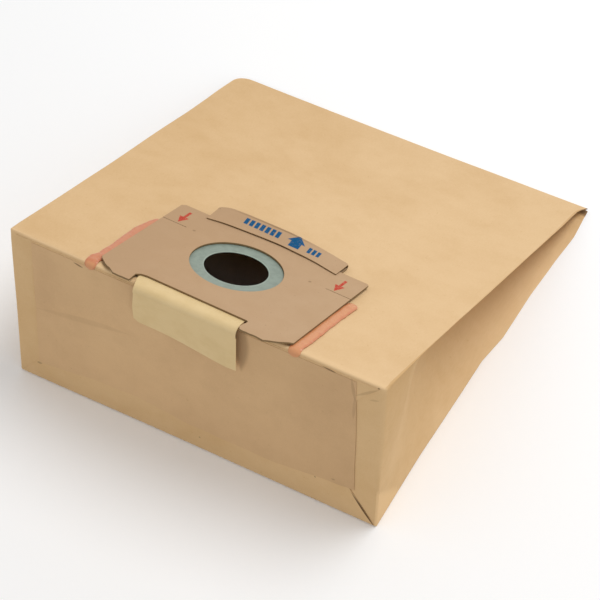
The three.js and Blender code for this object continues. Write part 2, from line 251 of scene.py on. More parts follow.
def point_normals(points, faces):
    """Each point's outward direction, from the quads round it."""
    corners = points[faces]
    normals = np.cross(corners[:, 2] - corners[:, 0], corners[:, 3] - corners[:, 1])
    total = np.zeros_like(points)
    for corner in range(4):
        np.add.at(total, faces[:, corner], normals)
    return total / np.linalg.norm(total, axis=1)[:, None]


def closed_wall(outer, inner, faces):
    """A closed body between two skins that share their faces, with a rim along every open edge."""
    count = len(outer)
    starts = faces.ravel()
    ends = np.roll(faces, -1, axis=1).ravel()
    rim = ~np.isin(starts * count + ends, ends * count + starts)
    a, b = starts[rim], ends[rim]
    rims = np.stack([b, a, a + count, b + count], axis=1)
    return np.vstack([outer, inner]), np.vstack([faces, faces[:, ::-1] + count, rims])


def sheet_body(outer, inner):
    """A closed sheet from two grids of points, its outer side first."""
    ids = np.arange(outer.shape[0] * outer.shape[1]).reshape(outer.shape[:2])
    return closed_wall(outer.reshape(-1, 3), inner.reshape(-1, 3), grid_faces(ids))


def joined(bodies):
    """Several bodies' points and faces as one."""
    points, faces, first = [], [], 0
    for body_points, body_faces in bodies:
        points.append(body_points)
        faces.append(body_faces + first)
        first += len(body_points)
    return np.vstack(points), np.vstack(faces)


def with_hole(faces, flat, centre, radius):
    """Opens a round hole in faces whose points have these flat places.

    It gives the faces that stay, the points on the hole's rim and their places on the circle.
    """
    offset = flat - np.array(centre)
    distance = np.hypot(offset[:, 0], offset[:, 1])
    gone = distance[faces].mean(axis=1) < radius
    kept = faces[~gone]
    rim = np.intersect1d(faces[gone], kept)
    return kept, rim, centre + offset[rim] * (radius / distance[rim])[:, None]


def compact(points, faces, *others):
    """Drops points that no face uses."""
    used, numbers = np.unique(faces, return_inverse=True)
    return (points[used], numbers.reshape(faces.shape), *[other[used] for other in others])


def new_object(name, data):
    """An object for the data, linked to the scene."""
    made = bpy.data.objects.new(name, data)
    bpy.context.scene.collection.objects.link(made)
    return made


def mesh_object(name, points, faces, smooth_angle=40, **marks):
    """A smooth-shaded mesh, with a named number for each point where one is given."""
    mesh = bpy.data.meshes.new(name)
    mesh.from_pydata(points.tolist(), [], faces.tolist())
    mesh.validate()
    for label, values in marks.items():
        mesh.attributes.new(label, "FLOAT", "POINT").data.foreach_set("value", values.astype(np.float32))
    return softened(new_object(name, mesh), smooth_angle)


def softened(piece, smooth_angle):
    """Smooth shading, with edges sharper than the angle kept."""
    mesh = piece.data
    mesh.polygons.foreach_set("use_smooth", [True] * len(mesh.polygons))
    mesh.set_sharp_from_angle(angle=math.radians(smooth_angle))
    return piece


def plain_mesh(source, name, matrix=None):
    """The source with its modifiers and curves turned into a plain mesh, moved by the matrix."""
    evaluated = source.evaluated_get(bpy.context.evaluated_depsgraph_get())
    mesh = bpy.data.meshes.new_from_object(evaluated)
    bpy.data.objects.remove(source)
    if matrix is not None:
        mesh.transform(matrix)
    return new_object(name, mesh)


def welded(piece):
    """Merges coincident points and turns every face outwards."""
    nearest = 0.001 * MM
    bm = bmesh.new()
    bm.from_mesh(piece.data)
    bmesh.ops.remove_doubles(bm, verts=bm.verts, dist=nearest)
    bmesh.ops.dissolve_degenerate(bm, edges=bm.edges, dist=nearest)
    bmesh.ops.recalc_face_normals(bm, faces=bm.faces)
    bm.to_mesh(piece.data)
    bm.free()
    return piece


def finish_piece(piece, material, node):
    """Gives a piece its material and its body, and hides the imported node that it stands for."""
    piece.data.materials.clear()
    piece.data.materials.append(material)
    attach(piece, BODY)
    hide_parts(node)


# The bag's form


class BagForm:
    """Where the bag's paper lies, worked out from its sizes.

    u is a place's share of the half width, from -1 on the left to 1 on the right, t its share of the length
    from the front, and v its share of the height. On a panel, x runs to the right, and h up the front or s
    along the top.
    """

    # How slowly the side creases deepen, and where their bow turns into a sharp fold, by share of the length
    gusset_power = 1.3
    crease_start = 0.15
    crease_sharp = 0.6
    # The right crease opens between these shares of the length, and keeps this share of its depth
    crease_end = (0.968, 0.988)
    crease_left = 0.06
    # How far the right edges stray outwards, by share of the length: low, and high at the end alone
    stray_shares = [0, 0.21, 0.5, 0.58, 0.72, 0.86, 0.92, 1]
    stray = np.array([-0.3, -1.7, -1.8, 1.0, 0.8, 2.2, 3.2, 1.5]) * MM
    tip = 3.6 * MM
    # How far the flat end's right corner lies to the rear, and how suddenly
    skew = 3.0 * MM
    skew_power = 12
    # The whole bag's slight unevenness, and the size of its lumps
    unevenness = 0.6 * MM
    lump = 75 * MM

    def __init__(self, sizes):
        self.sizes = sizes
        self.start = -(sizes.length + sizes.end_lip) / 2
        self.slope = math.atan2(sizes.front_height - sizes.end_height, sizes.length - sizes.front_lean)
        self.lean = math.atan2(sizes.front_lean, sizes.front_height)
        self.slant = math.hypot(sizes.front_lean, sizes.front_height)
        self.panel_length = (sizes.length - sizes.front_lean) / math.cos(self.slope)
        top_edge = Matrix.Translation((0, self.start + sizes.front_lean, sizes.front_height))
        self.panel = top_edge @ Matrix.Rotation(-self.slope, 4, "X")
        self.front = Matrix.Translation((0, self.start, 0)) @ Matrix.Rotation(math.pi / 2 - self.lean, 4, "X")

    def crease_depth(self, t):
        """How deep the gussets fold in at a share t of the length."""
        leaf = self.slant / 2
        opening = lerp(self.slant, self.sizes.end_height, t) / 2
        folded = np.sqrt(np.maximum(leaf * leaf - opening * opening, 0))
        eased = np.sin(math.pi / 2 * np.minimum(1, t * self.sizes.length / self.sizes.gusset_ease))
        return folded * eased**self.gusset_power

    def crease_shape(self, t, v):
        """A gusset's section, from 0 at the panels to 1 at its crease: a bow near the front, then a fold."""
        bow = np.maximum(4 * v * (1 - v), 0)
        # The upper leaf is steeper near the front.
        bow **= np.where(v > 0.5, lerp(0.6, 1, ease(t, 0.3, 0.6)), 1)
        fold = 1 - np.abs(2 * v - 1)
        return lerp(bow, fold, ease(t, self.crease_start, self.crease_sharp))

    def half_width(self, t, v, right):
        """Half the bag's width at a share t of its length and v of its height."""
        sizes = self.sizes
        spread = t * lerp(sizes.low_spread, sizes.top_spread, v)
        fold = self.crease_depth(t) * self.crease_shape(t, v)
        fold *= 1 - (1 - self.crease_left) * right * ease(t, *self.crease_end)
        half = sizes.width / 2 + spread - fold
        corner = sizes.corner_clip / sizes.length
        along = np.clip(1 - (1 - t) / corner, 0, 1)
        clip = sizes.corner_clip * (1 - np.sqrt(1 - along * along))
        stray = np.interp(t, self.stray_shares, self.stray) * (1 - v) ** 2
        stray += self.tip * v * v * ease(t, 0.962, 1) ** 2
        return half + np.where(right, stray, -clip)

    def surface(self, u, t, v):
        """Points at shares of the width (-1 to 1), length and height."""
        sizes = self.sizes
        along_low = t * (sizes.length + sizes.end_lip)
        along_top = lerp(sizes.front_lean, sizes.length, t)
        x = u * self.half_width(t, v, u > 0)
        y = self.start + lerp(along_low, along_top, v)
        y += self.skew * ease(u, -0.3, 1.3) * t**self.skew_power * lerp(0.45, 1, v)
        z = v * lerp(sizes.front_height, sizes.end_height, t)
        return np.stack([x, y, z], axis=1)

    def front_relief(self, x, h):
        """How far the front's paper stands out of its plane: waves, and one soft crease left of the strip."""
        sizes = self.sizes
        relief = sizes.crumple * rough_plane(x, h, 70 * MM, 3)
        relief += 0.35 * sizes.crumple * rough_plane(x, h, 26 * MM, 4)
        relief -= 0.8 * MM * crease(x, h, (-99 * MM, 60 * MM), (-41 * MM, 70 * MM), 6 * MM)
        sides = faded(x + sizes.width / 2, sizes.width, 14 * MM, 14 * MM)
        ends = faded(h, self.slant, 12 * MM, 16 * MM)
        strip = crease(x, h, (-30 * MM, 100 * MM), (24 * MM, 100 * MM), 24 * MM)
        return relief * sides * ends * (1 - 0.85 * strip)

    def top_relief(self, x, s):
        """How far the top panel's paper stands out of its plane. It never rises under the collar."""
        sizes = self.sizes
        relief = sizes.sag * (rough_plane(x, s, 60 * MM, 7) + 0.4 * rough_plane(x, s, 21 * MM, 8))
        sides = faded(x + sizes.width / 2, sizes.width, 10 * MM, 10 * MM)
        ends = faded(s, self.panel_length, 10 * MM, 14 * MM)
        from_collar = np.hypot(x / (78 * MM), (s - 46 * MM) / (68 * MM))
        return relief * sides * ends * ease(from_collar, 0.9, 1.25)

    def side_relief(self, y, v):
        """How far a gusset's paper stands out."""
        height = v * self.sizes.front_height
        relief = 0.9 * MM * rough_plane(y, height, 55 * MM, 11)
        relief += 0.3 * MM * rough_plane(y, height, 18 * MM, 12)
        return relief * ease(y, 0, 16 * MM) * faded(v, 1, 0.12, 0.12)

    def relaxed(self, points):
        """The same points with the whole bag's slight unevenness, which spares the collar and the ground."""
        collar = placed(self.panel, np.array([0, 44, 0]) * MM)
        collar_reach = np.array([80, 62, 40]) * MM
        away = ease(np.linalg.norm((points - collar) / collar_reach, axis=1), 1, 1.7)
        lift = np.clip(points[:, 2] / (12 * MM), 0, 1)
        moved = points.copy()
        for axis, share in enumerate((1, 1, lift)):
            moved[:, axis] += self.unevenness * away * share * rough(points, self.lump, 21 + axis)
        return moved

    def on_front(self, x, h, lift):
        """Points at a height over the front's uneven paper."""
        raised = self.front_relief(x, h) + lift
        local = np.stack([x, h, raised], axis=-1).reshape(-1, 3)
        return self.relaxed(placed(self.front, local)).reshape(*x.shape, 3)


def collar_matrix(form, collar):
    """The collar plate's frame: x to the right, y up the panel, z outwards."""
    shift = Matrix.Translation((collar.across, collar.up, 0))
    return form.panel @ shift @ Matrix.Rotation(collar.askew, 4, "Z")


def seal_centre(form):
    """Where the seal's middle lies in the top panel's frame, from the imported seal."""
    middle = form.panel.inverted() @ ((SEAL_BOX[0] + SEAL_BOX[1]) / 2)
    return middle.x, middle.y


# A fold's radius and the wall's thickness are at most this share of the room between two layers.
LAYER_SHARE = 0.42


def shell_grid(sizes):
    """The six sides of a box with rounded folds, which is bent into the bag.

    It gives the points' numbers on the box's grid, their rows across, along and up, and their shares of the
    width (-1 to 1), length and height.
    """
    across = spaced(sizes.width, sizes.mesh_step)
    along = spaced(sizes.length, sizes.mesh_step)
    up = spaced(sizes.front_height, sizes.mesh_step)
    shell = np.ones((len(across), len(along), len(up)), bool)
    shell[1:-1, 1:-1, 1:-1] = False
    ids = np.full(shell.shape, -1)
    ids[shell] = np.arange(shell.sum())
    i, j, k = np.nonzero(shell)

    height = lerp(sizes.front_height, sizes.end_height, along[j])
    box = np.stack([(across[i] - 0.5) * sizes.width, along[j] * sizes.length, up[k] * height], axis=1)
    radius = np.minimum(fold_radii(sizes, box, height), LAYER_SHARE * height)
    radius *= lerp(1, 0.15, ease(along[j], 0.7, 0.97))
    low = np.stack([radius - sizes.width / 2, radius, radius], axis=1)
    high = np.stack([sizes.width / 2 - radius, sizes.length - radius, height - radius], axis=1)
    core = np.clip(box, low, high)
    out = box - core
    box = core + out * (radius / np.linalg.norm(out, axis=1))[:, None]
    return ids, (i, j, k), (box[:, 0] / (sizes.width / 2), box[:, 1] / sizes.length, box[:, 2] / height)


def bag_shell(form):
    """The paper bag as a closed thin wall with its inlet hole, and each point's painted shading tone and
    inside share.
    """
    sizes = form.sizes
    ids, (i, j, k), (u, t, v) = shell_grid(sizes)
    front, top = j == 0, k == k.max()
    side = (i == 0) | (i == i.max())

    points = form.surface(u, t, v)
    relief = form.front_relief(points[front, 0], v[front] * form.slant)
    points[front] += relief[:, None] * outwards(form.front)
    s = t * form.panel_length
    relief = form.top_relief(points[top, 0], s[top])
    points[top] += relief[:, None] * outwards(form.panel)
    points[side, 0] += np.sign(u[side]) * form.side_relief(t[side] * sizes.length, v[side])
    points = form.relaxed(points)
    points[:, 2] = np.maximum(points[:, 2], 0)

    faces = np.vstack([
        grid_faces(ids[:, :, -1]),
        grid_faces(ids[:, :, 0], flip=True),
        grid_faces(ids[:, 0, :]),
        grid_faces(ids[:, -1, :], flip=True),
        grid_faces(ids[-1, :, :]),
        grid_faces(ids[0, :, :], flip=True),
    ])
    far_off = 1.0
    flat = np.where(top[:, None], np.stack([points[:, 0], s], axis=1), far_off)
    faces, rim, circle = with_hole(faces, flat, seal_centre(form), sizes.inlet_radius)
    points[rim] = placed(form.panel, np.column_stack([circle, np.zeros(len(rim))]))

    tone = shell_tone(form, u, t, v)
    wall = wall_thickness(form, u, t, v, side)
    points, faces, tone, wall = compact(points, faces, tone, wall)
    inner = points - wall[:, None] * point_normals(points, faces)
    points, faces = closed_wall(points, inner, faces)
    # The paler inner ply shows only round the inlet, and fades out before the folds.
    lining = points[len(tone):]
    inside = 1 - ease(lining[:, 1], -20 * MM, 10 * MM)
    inside *= 1 - ease(np.abs(lining[:, 0]), 88 * MM, 98 * MM)
    return points, faces, np.concatenate([tone, 0 * tone]), np.concatenate([0 * tone, inside])


def wall_thickness(form, u, t, v, side):
    """The wall's thickness at each point: thinner where the folded layers lie close, so they stay apart."""
    sizes = form.sizes
    thinnest = 0.03 * MM
    height = lerp(sizes.front_height, sizes.end_height, t)
    inwards = (1 - np.abs(u)) * sizes.width / 2
    # The room over or under a gusset's leaf, by how far inwards it is as a share of the crease's depth
    share = inwards / np.maximum(form.crease_depth(t), 1 * MM)
    over_leaf = np.minimum(np.minimum(share / 2, share ** (5 / 3) / 4), 1)
    room = np.where(side, np.minimum(v, 1 - v), over_leaf) * height
    return np.clip(LAYER_SHARE * room, thinnest, sizes.paper)


def fold_radii(sizes, box, height):
    """The folds' roundness at each point: soft along the front's top and high on its right fold."""
    front = ease(12 * MM - box[:, 1], 0, 8 * MM)
    top = front * ease(12 * MM - (height - box[:, 2]), 0, 8 * MM)
    # The top fold is crisper at its left end, and the right fold at its foot.
    top *= 1 - 0.5 * ease(-box[:, 0], 96 * MM, 112 * MM)
    side = front * ease(8 * MM - (sizes.width / 2 - box[:, 0]), 0, 6 * MM)
    side *= ease(box[:, 2] / height, 0.12, 0.6)
    soft = np.maximum(top * sizes.top_fold_radius, side * (1 - 0.5 * top) * sizes.side_fold_radius)
    return np.maximum(sizes.fold_radius, soft)


def shell_tone(form, u, t, v):
    """Lighter and darker parts of the paper: a lighter triangle low at the front of the right side, painted
    highlights on the folds, and painted shade and shadow.
    """
    sizes = form.sizes
    y = t * sizes.length
    below = (1 - v) * sizes.front_height
    right, on_top = u > 0.99, v > 0.995
    # Lighter: a triangle low at the front of the right side, and painted highlights along the front's top
    # corners, where it folds to the top, and along the top panel's right edge
    facet = right * ease(29 * MM - y - v * sizes.front_height, -1 * MM, 1.5 * MM)
    fold_highlight = 0.14 * (1 - ease(np.hypot(y, below), 0.5 * MM, 2.2 * MM))
    fold_highlight += 0.05 * (1 - ease(y + below, 2 * MM, 6 * MM))
    inwards = (1 - u) * sizes.width / 2
    edge = on_top * (1 - ease(inwards, 0.4 * MM, 1.8 * MM)) * ease(y, 2 * MM, 9 * MM)
    # Painted shade: the top panel's left, the gusset's front, the line under its top fold and its rear, and a
    # painted shadow as dark as a crack at its tip
    shade = on_top * ease(-u, -0.3, 1.0)
    near = (1 - ease(y - 50 * MM * (v - 0.5), 24 * MM, 44 * MM)) * ease(y, 0.5 * MM, 3 * MM)
    dim = right * near * (0.17 * ease(v, 0.25, 0.6) + 0.15 * ease(v, 0.75, 1))
    under = right * (1 - ease(below, 0.6 * MM, 2.6 * MM)) * ease(y, 3 * MM, 12 * MM)
    far = right * ease(t, 0.84, 0.96)
    tip = right * ease(t, 0.974, 0.988)
    return 0.3 * facet + fold_highlight + 0.1 * edge - 0.15 * shade - dim - 0.25 * under - 0.22 * far - 1.5 * tip


def flap(form, low, high, slant, top=False):
    """A block bottom flap, folded over the front. Its slanting ends run inwards."""
    lift, thickness = 0.06 * MM, 0.16 * MM
    p = np.linspace(0, 1, 70)[:, None]
    q = np.linspace(0, 1, 14)[None, :]
    half = form.sizes.width / 2 - lerp(low, low + slant, q)
    x = (2 * p - 1) * half
    if top:
        h = form.slant - lerp(form.sizes.top_fold_radius, high, q + 0 * p)
        x = -x
    else:
        h = lerp(form.sizes.fold_radius, high, q + 0 * p)
    curl = 0.2 * MM * ease(np.abs(2 * p - 1), 0.97, 1.0) * ease(q, 0.0, 0.4) * (x > 0)
    return sheet_body(form.on_front(x, h, lift + thickness + curl), form.on_front(x, h, lift + curl))


# Node trees


class Value:
    """A number in a node tree. Arithmetic on it adds Math nodes."""

    def __init__(self, nodes, socket):
        self.nodes = nodes
        self.socket = socket

    def __add__(self, other):
        return self.nodes.math("ADD", self, other)

    def __radd__(self, other):
        return self.nodes.math("ADD", other, self)

    def __sub__(self, other):
        return self.nodes.math("SUBTRACT", self, other)

    def __rsub__(self, other):
        return self.nodes.math("SUBTRACT", other, self)

    def __mul__(self, other):
        return self.nodes.math("MULTIPLY", self, other)

    def __rmul__(self, other):
        return self.nodes.math("MULTIPLY", other, self)

    def __truediv__(self, other):
        return self.nodes.math("DIVIDE", self, other)

    def __rtruediv__(self, other):
        return self.nodes.math("DIVIDE", other, self)

    def __abs__(self):
        return self.nodes.math("ABSOLUTE", self)

    def most(self, other):
        """The larger of the two."""
        return self.nodes.math("MAXIMUM", self, other)

    def clamped(self):
        """The same number, kept between 0 and 1."""
        return self.nodes.math("ADD", self, 0.0, clamp=True)


class Nodes:
    """A node tree that is built from expressions."""

    def __init__(self, tree):
        self.tree = tree

    def node(self, kind, settings=None, sockets=None):
        """Adds a node: its settings first, then its sockets' values and links.

        A node that is given to a socket stands for its first output.
        """
        node = self.tree.nodes.new(kind)
        for name, value in (settings or {}).items():
            setattr(node, name, value)
        for key, value in (sockets or {}).items():
            if isinstance(value, Value):
                value = value.socket
            elif isinstance(value, bpy.types.Node):
                value = value.outputs[0]
            if isinstance(value, bpy.types.NodeSocket):
                self.tree.links.new(value, node.inputs[key])
            else:
                node.inputs[key].default_value = value
        return node

    def number(self, kind, output=0, settings=None, sockets=None):
        """A number that a new node puts out."""
        return Value(self, self.node(kind, settings, sockets).outputs[output])

    def math(self, operation, *inputs, clamp=False):
        """The result of a Math node."""
        settings = {"operation": operation, "use_clamp": clamp}
        return self.number("ShaderNodeMath", 0, settings, dict(enumerate(inputs)))


class Shader(Nodes):
    """The nodes of a new material, or of a world."""

    def __init__(self, name, world=None):
        self.owner = world or bpy.data.materials.new(name)
        self.owner.use_nodes = True
        super().__init__(self.owner.node_tree)
        self.tree.nodes.clear()

    def mix(self, factor, first, second):
        """A blend of two colours."""
        sockets = {"Factor": factor, 6: first, 7: second}
        return self.node("ShaderNodeMix", {"data_type": "RGBA"}, sockets).outputs[2]

    def place(self):
        """The object's own coordinates."""
        return self.node("ShaderNodeTexCoord").outputs["Object"]

    def mapped(self, vector, **sockets):
        """A vector, stretched or moved."""
        return self.node("ShaderNodeMapping", {"vector_type": "POINT"}, {"Vector": vector, **sockets})

    def moved(self, vector, matrix):
        """A vector in the frame that the matrix places."""
        inverse = matrix.inverted()
        return self.mapped(vector, Location=inverse.translation, Rotation=inverse.to_euler("XYZ"))

    def parts(self, vector):
        """A vector's x, y and z."""
        node = self.node("ShaderNodeSeparateXYZ", sockets={"Vector": vector})
        return [Value(self, output) for output in node.outputs]

    def noise(self, vector, size, detail=3.0, roughness=0.55):
        """Soft noise from 0 to 1, with lumps of a size in metres."""
        sockets = {"Vector": vector, "Scale": 1 / size, "Detail": detail, "Roughness": roughness}
        return self.number("ShaderNodeTexNoise", sockets=sockets)

    def attribute(self, name):
        """A number that the mesh holds at its points."""
        return self.number("ShaderNodeAttribute", "Fac", {"attribute_name": name})

    def facing(self, direction):
        """How squarely the surface faces a direction, from -1 to 1."""
        sockets = {0: self.node("ShaderNodeNewGeometry").outputs["True Normal"], 1: direction}
        return self.number("ShaderNodeVectorMath", "Value", {"operation": "DOT_PRODUCT"}, sockets)

    def ramp(self, value, low, high):
        """From 0 at low to 1 at high."""
        sockets = {"Value": value, "From Min": low, "From Max": high}
        return self.number("ShaderNodeMapRange", 0, {"interpolation_type": "SMOOTHSTEP"}, sockets)

    def bump(self, height, distance, strength, normal=None):
        """The surface's direction, as if the height stood out of it, on top of another bump."""
        sockets = {"Height": height, "Distance": distance, "Strength": strength}
        if normal is not None:
            sockets["Normal"] = normal
        return self.node("ShaderNodeBump", sockets=sockets)

    def background(self):
        """1 for what the camera sees directly, or in a mirror or through glass."""
        rays = self.node("ShaderNodeLightPath").outputs
        seen = Value(self, rays["Is Camera Ray"])
        return seen.most(Value(self, rays["Is Glossy Ray"])).most(Value(self, rays["Is Transmission Ray"]))

    def surface(self, **sockets):
        """Ends the material in a Principled shader. Underscores in names stand for spaces."""
        named = {name.replace("_", " "): value for name, value in sockets.items()}
        shader = self.node("ShaderNodeBsdfPrincipled", sockets=named)
        self.node("ShaderNodeOutputMaterial", sockets={"Surface": shader})
        return self.owner


class NodeBuild(Nodes):
    """A Geometry Nodes tree, with named inputs, that ends in one plain mesh with one material."""

    def __init__(self, name):
        super().__init__(bpy.data.node_groups.new(name, "GeometryNodeTree"))
        self.tree.is_modifier = True
        self.values = {}
        self.entry = self.node("NodeGroupInput")
        self.tree.interface.new_socket("Geometry", in_out="OUTPUT", socket_type="NodeSocketGeometry")

    def input(self, name, value, kind="NodeSocketFloat"):
        """A named input, with what this build sets it to."""
        item = self.tree.interface.new_socket(name, in_out="INPUT", socket_type=kind)
        self.values[item.identifier] = value
        return Value(self, self.entry.outputs[name])

    def path(self):
        """The mesh that the tree works on."""
        self.tree.interface.new_socket("Path", in_out="INPUT", socket_type="NodeSocketGeometry")
        return self.entry.outputs["Path"]

    def finish(self, geometry, material):
        """Realizes what the tree made, gives it its material and sends it out."""
        real = self.node("GeometryNodeRealizeInstances", sockets={"Geometry": geometry})
        painted = self.node("GeometryNodeSetMaterial", sockets={"Geometry": real, "Material": material})
        self.node("NodeGroupOutput", sockets={0: painted})

    def made(self, name, source=None, matrix=None):
        """The tree's result as a plain mesh object."""
        host = new_object(name + "_path", source or bpy.data.meshes.new(name))
        modifier = host.modifiers.new("build", "NODES")
        modifier.node_group = self.tree
        for identifier, value in self.values.items():
            modifier[identifier] = value
        return plain_mesh(host, name, matrix)


# Materials


def tinted(base, *shares):
    """A colour with its parts multiplied, all by one share or each by its own."""
    return tuple(min(1, part * share) for part, share in zip(base[:3], shares * 3)) + (1,)


def band(shader, value, low, high, soft):
    """1 between low and high, with soft sides."""
    return shader.ramp(value, low - soft, low + soft) * (1 - shader.ramp(value, high - soft, high + soft))


def stroke(shader, x, y, start, end, width):
    """1 on a thin straight line from start to end, two vectors, which tapers off at its ends."""
    middle = (start + end) / 2
    run = end - start
    way = run.normalized()
    along = (x - middle.x) * way.x + (y - middle.y) * way.y
    beside = (y - middle.y) * way.x - (x - middle.x) * way.y
    reach = abs(along) / (run.length / 2)
    thin = abs(beside) / width + reach * reach * 0.8
    return 1 - shader.ramp(thin, 0.55, 1.15)


# Cracks and specks on the block bottom, with painted shade in its creases and slit and painted shadow beside
# the strip: (x, height) at both ends in mm, half width in mm, strength
FRONT_MARKS = (
    # The slit at the lower right: painted shade where the flap's slanting end lifts
    ((98.8, 20.2), (114.4, -0.8), 0.8, 0.95),
    ((110.4, 113.0), (111.9, 113.2), 0.6, 0.6),
    # The patch's top edge where it lifts: painted shadow
    ((78.0, 112.2), (86.4, 111.6), 0.6, 0.7),
    ((-74.2, 110.2), (-68.4, 109.0), 0.7, 0.7),
    ((-102.8, 13.8), (-99.2, 14.8), 1.0, 0.4),
    # A soft crease: painted shade
    ((-98.6, 60.1), (-41.2, 70.5), 2.6, 0.08),
    # The shutter strip's painted shadow on the front
    ((29.0, 120.0), (29.4, 82.0), 5.4, 0.34),
    # Creases at the top right: painted shade
    ((95.4, 112.4), (98.2, 95.5), 1.2, 0.2),
    ((98.0, 99.0), (97.2, 80.5), 1.2, 0.16),
    ((98.2, 100.5), (111.8, 112.6), 1.0, 0.2),
    ((106.4, 101.4), (111.8, 103.6), 0.9, 0.16),
    ((75.9, 19.9), (76.7, 20.5), 0.7, 0.5),
    ((2.6, 9.2), (3.6, 9.6), 0.7, 0.4),
    ((86.2, 24.6), (88.6, 24.9), 0.6, 0.3),
)


def paper_material(name, base, dark, crack_and_shadow, lining=None):
    """Brown wrapping paper: blotches, fine fibres, specks, painted light and shade from its shading tone, and
    dark marks on the front, some of them painted shade.
    """
    shader = Shader(name)
    place = shader.place()
    blotch = shader.ramp(shader.noise(place, 38 * MM, 4), 0.3, 0.75)
    cloud = shader.ramp(shader.noise(place, 9 * MM), 0.35, 0.8)
    fibres = shader.noise(shader.mapped(place, Scale=(1, 0.12, 1)), 0.8 * MM)
    speck = shader.ramp(shader.noise(place, 1.9 * MM, 1), 0.71, 0.8)
    shade = 0.34 * blotch + 0.14 * cloud + 0.4 * (fibres - 0.5) + 0.35 * speck
    tone = shader.attribute("tone")
    # The shading tone paints light and shade: above 0 a painted highlight, paler; below 0 painted shade,
    # browner, towards dark; below -1 a painted shadow as dark as a crack.
    tint = shader.mix((shade - tone * 2.2).clamped(), base, dark)
    tint = shader.mix((tone * 2.0).clamped(), tint, tinted(base, 1.2))
    tint = shader.mix((-1 - tone).clamped(), tint, crack_and_shadow)
    if lining is not None:
        tint = shader.mix(shader.attribute("inside"), tint, lining)
    x, _, z = shader.parts(place)
    on_front = shader.ramp(shader.facing((0, -1, 0)), 0.3, 0.6)
    # Dark marks on the front: cracks and specks, painted shade in creases and the slit, and the strip's
    # painted shadow
    for start, end, width, strength in FRONT_MARKS:
        line = stroke(shader, x, z, Vector(start) * MM, Vector(end) * MM, width * MM)
        tint = shader.mix((line * on_front * strength).clamped(), tint, crack_and_shadow)
    crumple = shader.bump(shader.noise(place, 22 * MM, 5, 0.5), 0.7 * MM, 0.55)
    grain = shader.bump(fibres + speck * 0.6, 0.05 * MM, 0.6, crumple)
    return shader.surface(
        Base_Color=tint, Roughness=0.68 + 0.14 * fibres, Normal=grain, Specular_IOR_Level=0.3
    )


def cream_material(name, base):
    """Smooth pale paper with a faint sheen and soft blotches, and painted shade that makes it a little darker
    where it faces up.
    """
    shader = Shader(name)
    place = shader.place()
    cloud = shader.ramp(shader.noise(place, 12 * MM), 0.35, 0.75)
    fibres = shader.noise(shader.mapped(place, Scale=(0.15, 1, 1)), 0.9 * MM)
    # Painted shade: darker where the strip faces up.
    painted_top_shade = shader.ramp(shader.facing((0, 0, 1)), 0.5, 0.9)
    darker = (0.45 * cloud + 0.3 * (fibres - 0.5) + 0.42 * painted_top_shade).clamped()
    tint = shader.mix(darker, base, tinted(base, 0.86, 0.82, 0.72))
    grain = shader.bump(fibres, 0.03 * MM, 0.5)
    return shader.surface(
        Base_Color=tint, Roughness=0.5 + 0.1 * fibres, Normal=grain, Specular_IOR_Level=0.35
    )


def arrow_mask(shader, x, y, tip, length, width, head, stem, towards):
    """A printed arrow: its tip's place, its length and width, its head's length and its stem's width.

    towards is 1 where it points to the rear, and -1 where it points to the front.
    """
    soft = 0.25 * MM
    back = (y - tip[1]) * -towards
    side = abs(x - tip[0])
    head_side = shader.ramp(back * (width / 2 / head) - side, -soft, soft)
    head_part = head_side * band(shader, back, 0, head, soft)
    stem_side = 1 - shader.ramp(side, stem / 2 - soft, stem / 2 + soft)
    return head_part.most(stem_side * band(shader, back, head * 0.8, length, soft))


def board_material(name, finish, matrix, ink, print_mask, wear, dots=()):
    """Grey recycled board: a fibrous face with painted shade towards the left, cut edges darker partly in
    their own colour and partly as painted shade, punched dots in painted shade and simple worn print.
    """
    shader = Shader(name)
    place = shader.place()
    x, y, _ = shader.parts(shader.moved(place, matrix))
    cloud = shader.ramp(shader.noise(place, 14 * MM, 4), 0.3, 0.75)
    pulp = shader.noise(place, 1.1 * MM, 4, 0.65)
    fleck = shader.ramp(shader.noise(shader.mapped(place, Scale=(1, 0.45, 1)), 1.3 * MM, 2), 0.68, 0.76)
    # Painted shade: the face turns darker and warmer towards the plate's left, and its clouds take the same
    # warm colour.
    painted_left_shade = 1 - shader.ramp(x, -70 * MM, 60 * MM)
    warm_cloud_and_shade = tinted(finish.board, 0.93, 0.9, 0.86)
    face = shader.mix((0.6 * cloud + 0.9 * painted_left_shade).clamped(), finish.board, warm_cloud_and_shade)
    face = shader.mix((0.5 * fleck + 0.5 * (pulp - 0.55)).clamped(), face, finish.board_fleck)
    worn = shader.noise(place, 0.9 * MM)
    mask = print_mask(shader, x, y) * (1 - wear * (1 - shader.ramp(worn, 0.26, 0.48)))
    face = shader.mix(mask.clamped(), face, ink)
    # Painted shade in the punched dots' hollows.
    for dot_x, dot_y in dots:
        reach = (x - dot_x) * (x - dot_x) + (y - dot_y) * (y - dot_y)
        dot = 1 - shader.ramp(reach, 0.15 * MM**2, 1.3 * MM**2)
        face = shader.mix(0.6 * dot, face, finish.board_cut_and_shade)
    # The cut edges: their darker colour, partly painted shade.
    cut = 1 - shader.ramp(shader.facing(outwards(matrix)), 0.45, 0.8)
    tint = shader.mix(cut, face, finish.board_cut_and_shade)
    grain = shader.bump(pulp + 0.6 * worn, 0.12 * MM, 0.5)
    return shader.surface(
        Base_Color=tint, Roughness=0.82 + 0.08 * pulp, Normal=grain, Specular_IOR_Level=0.25
    )


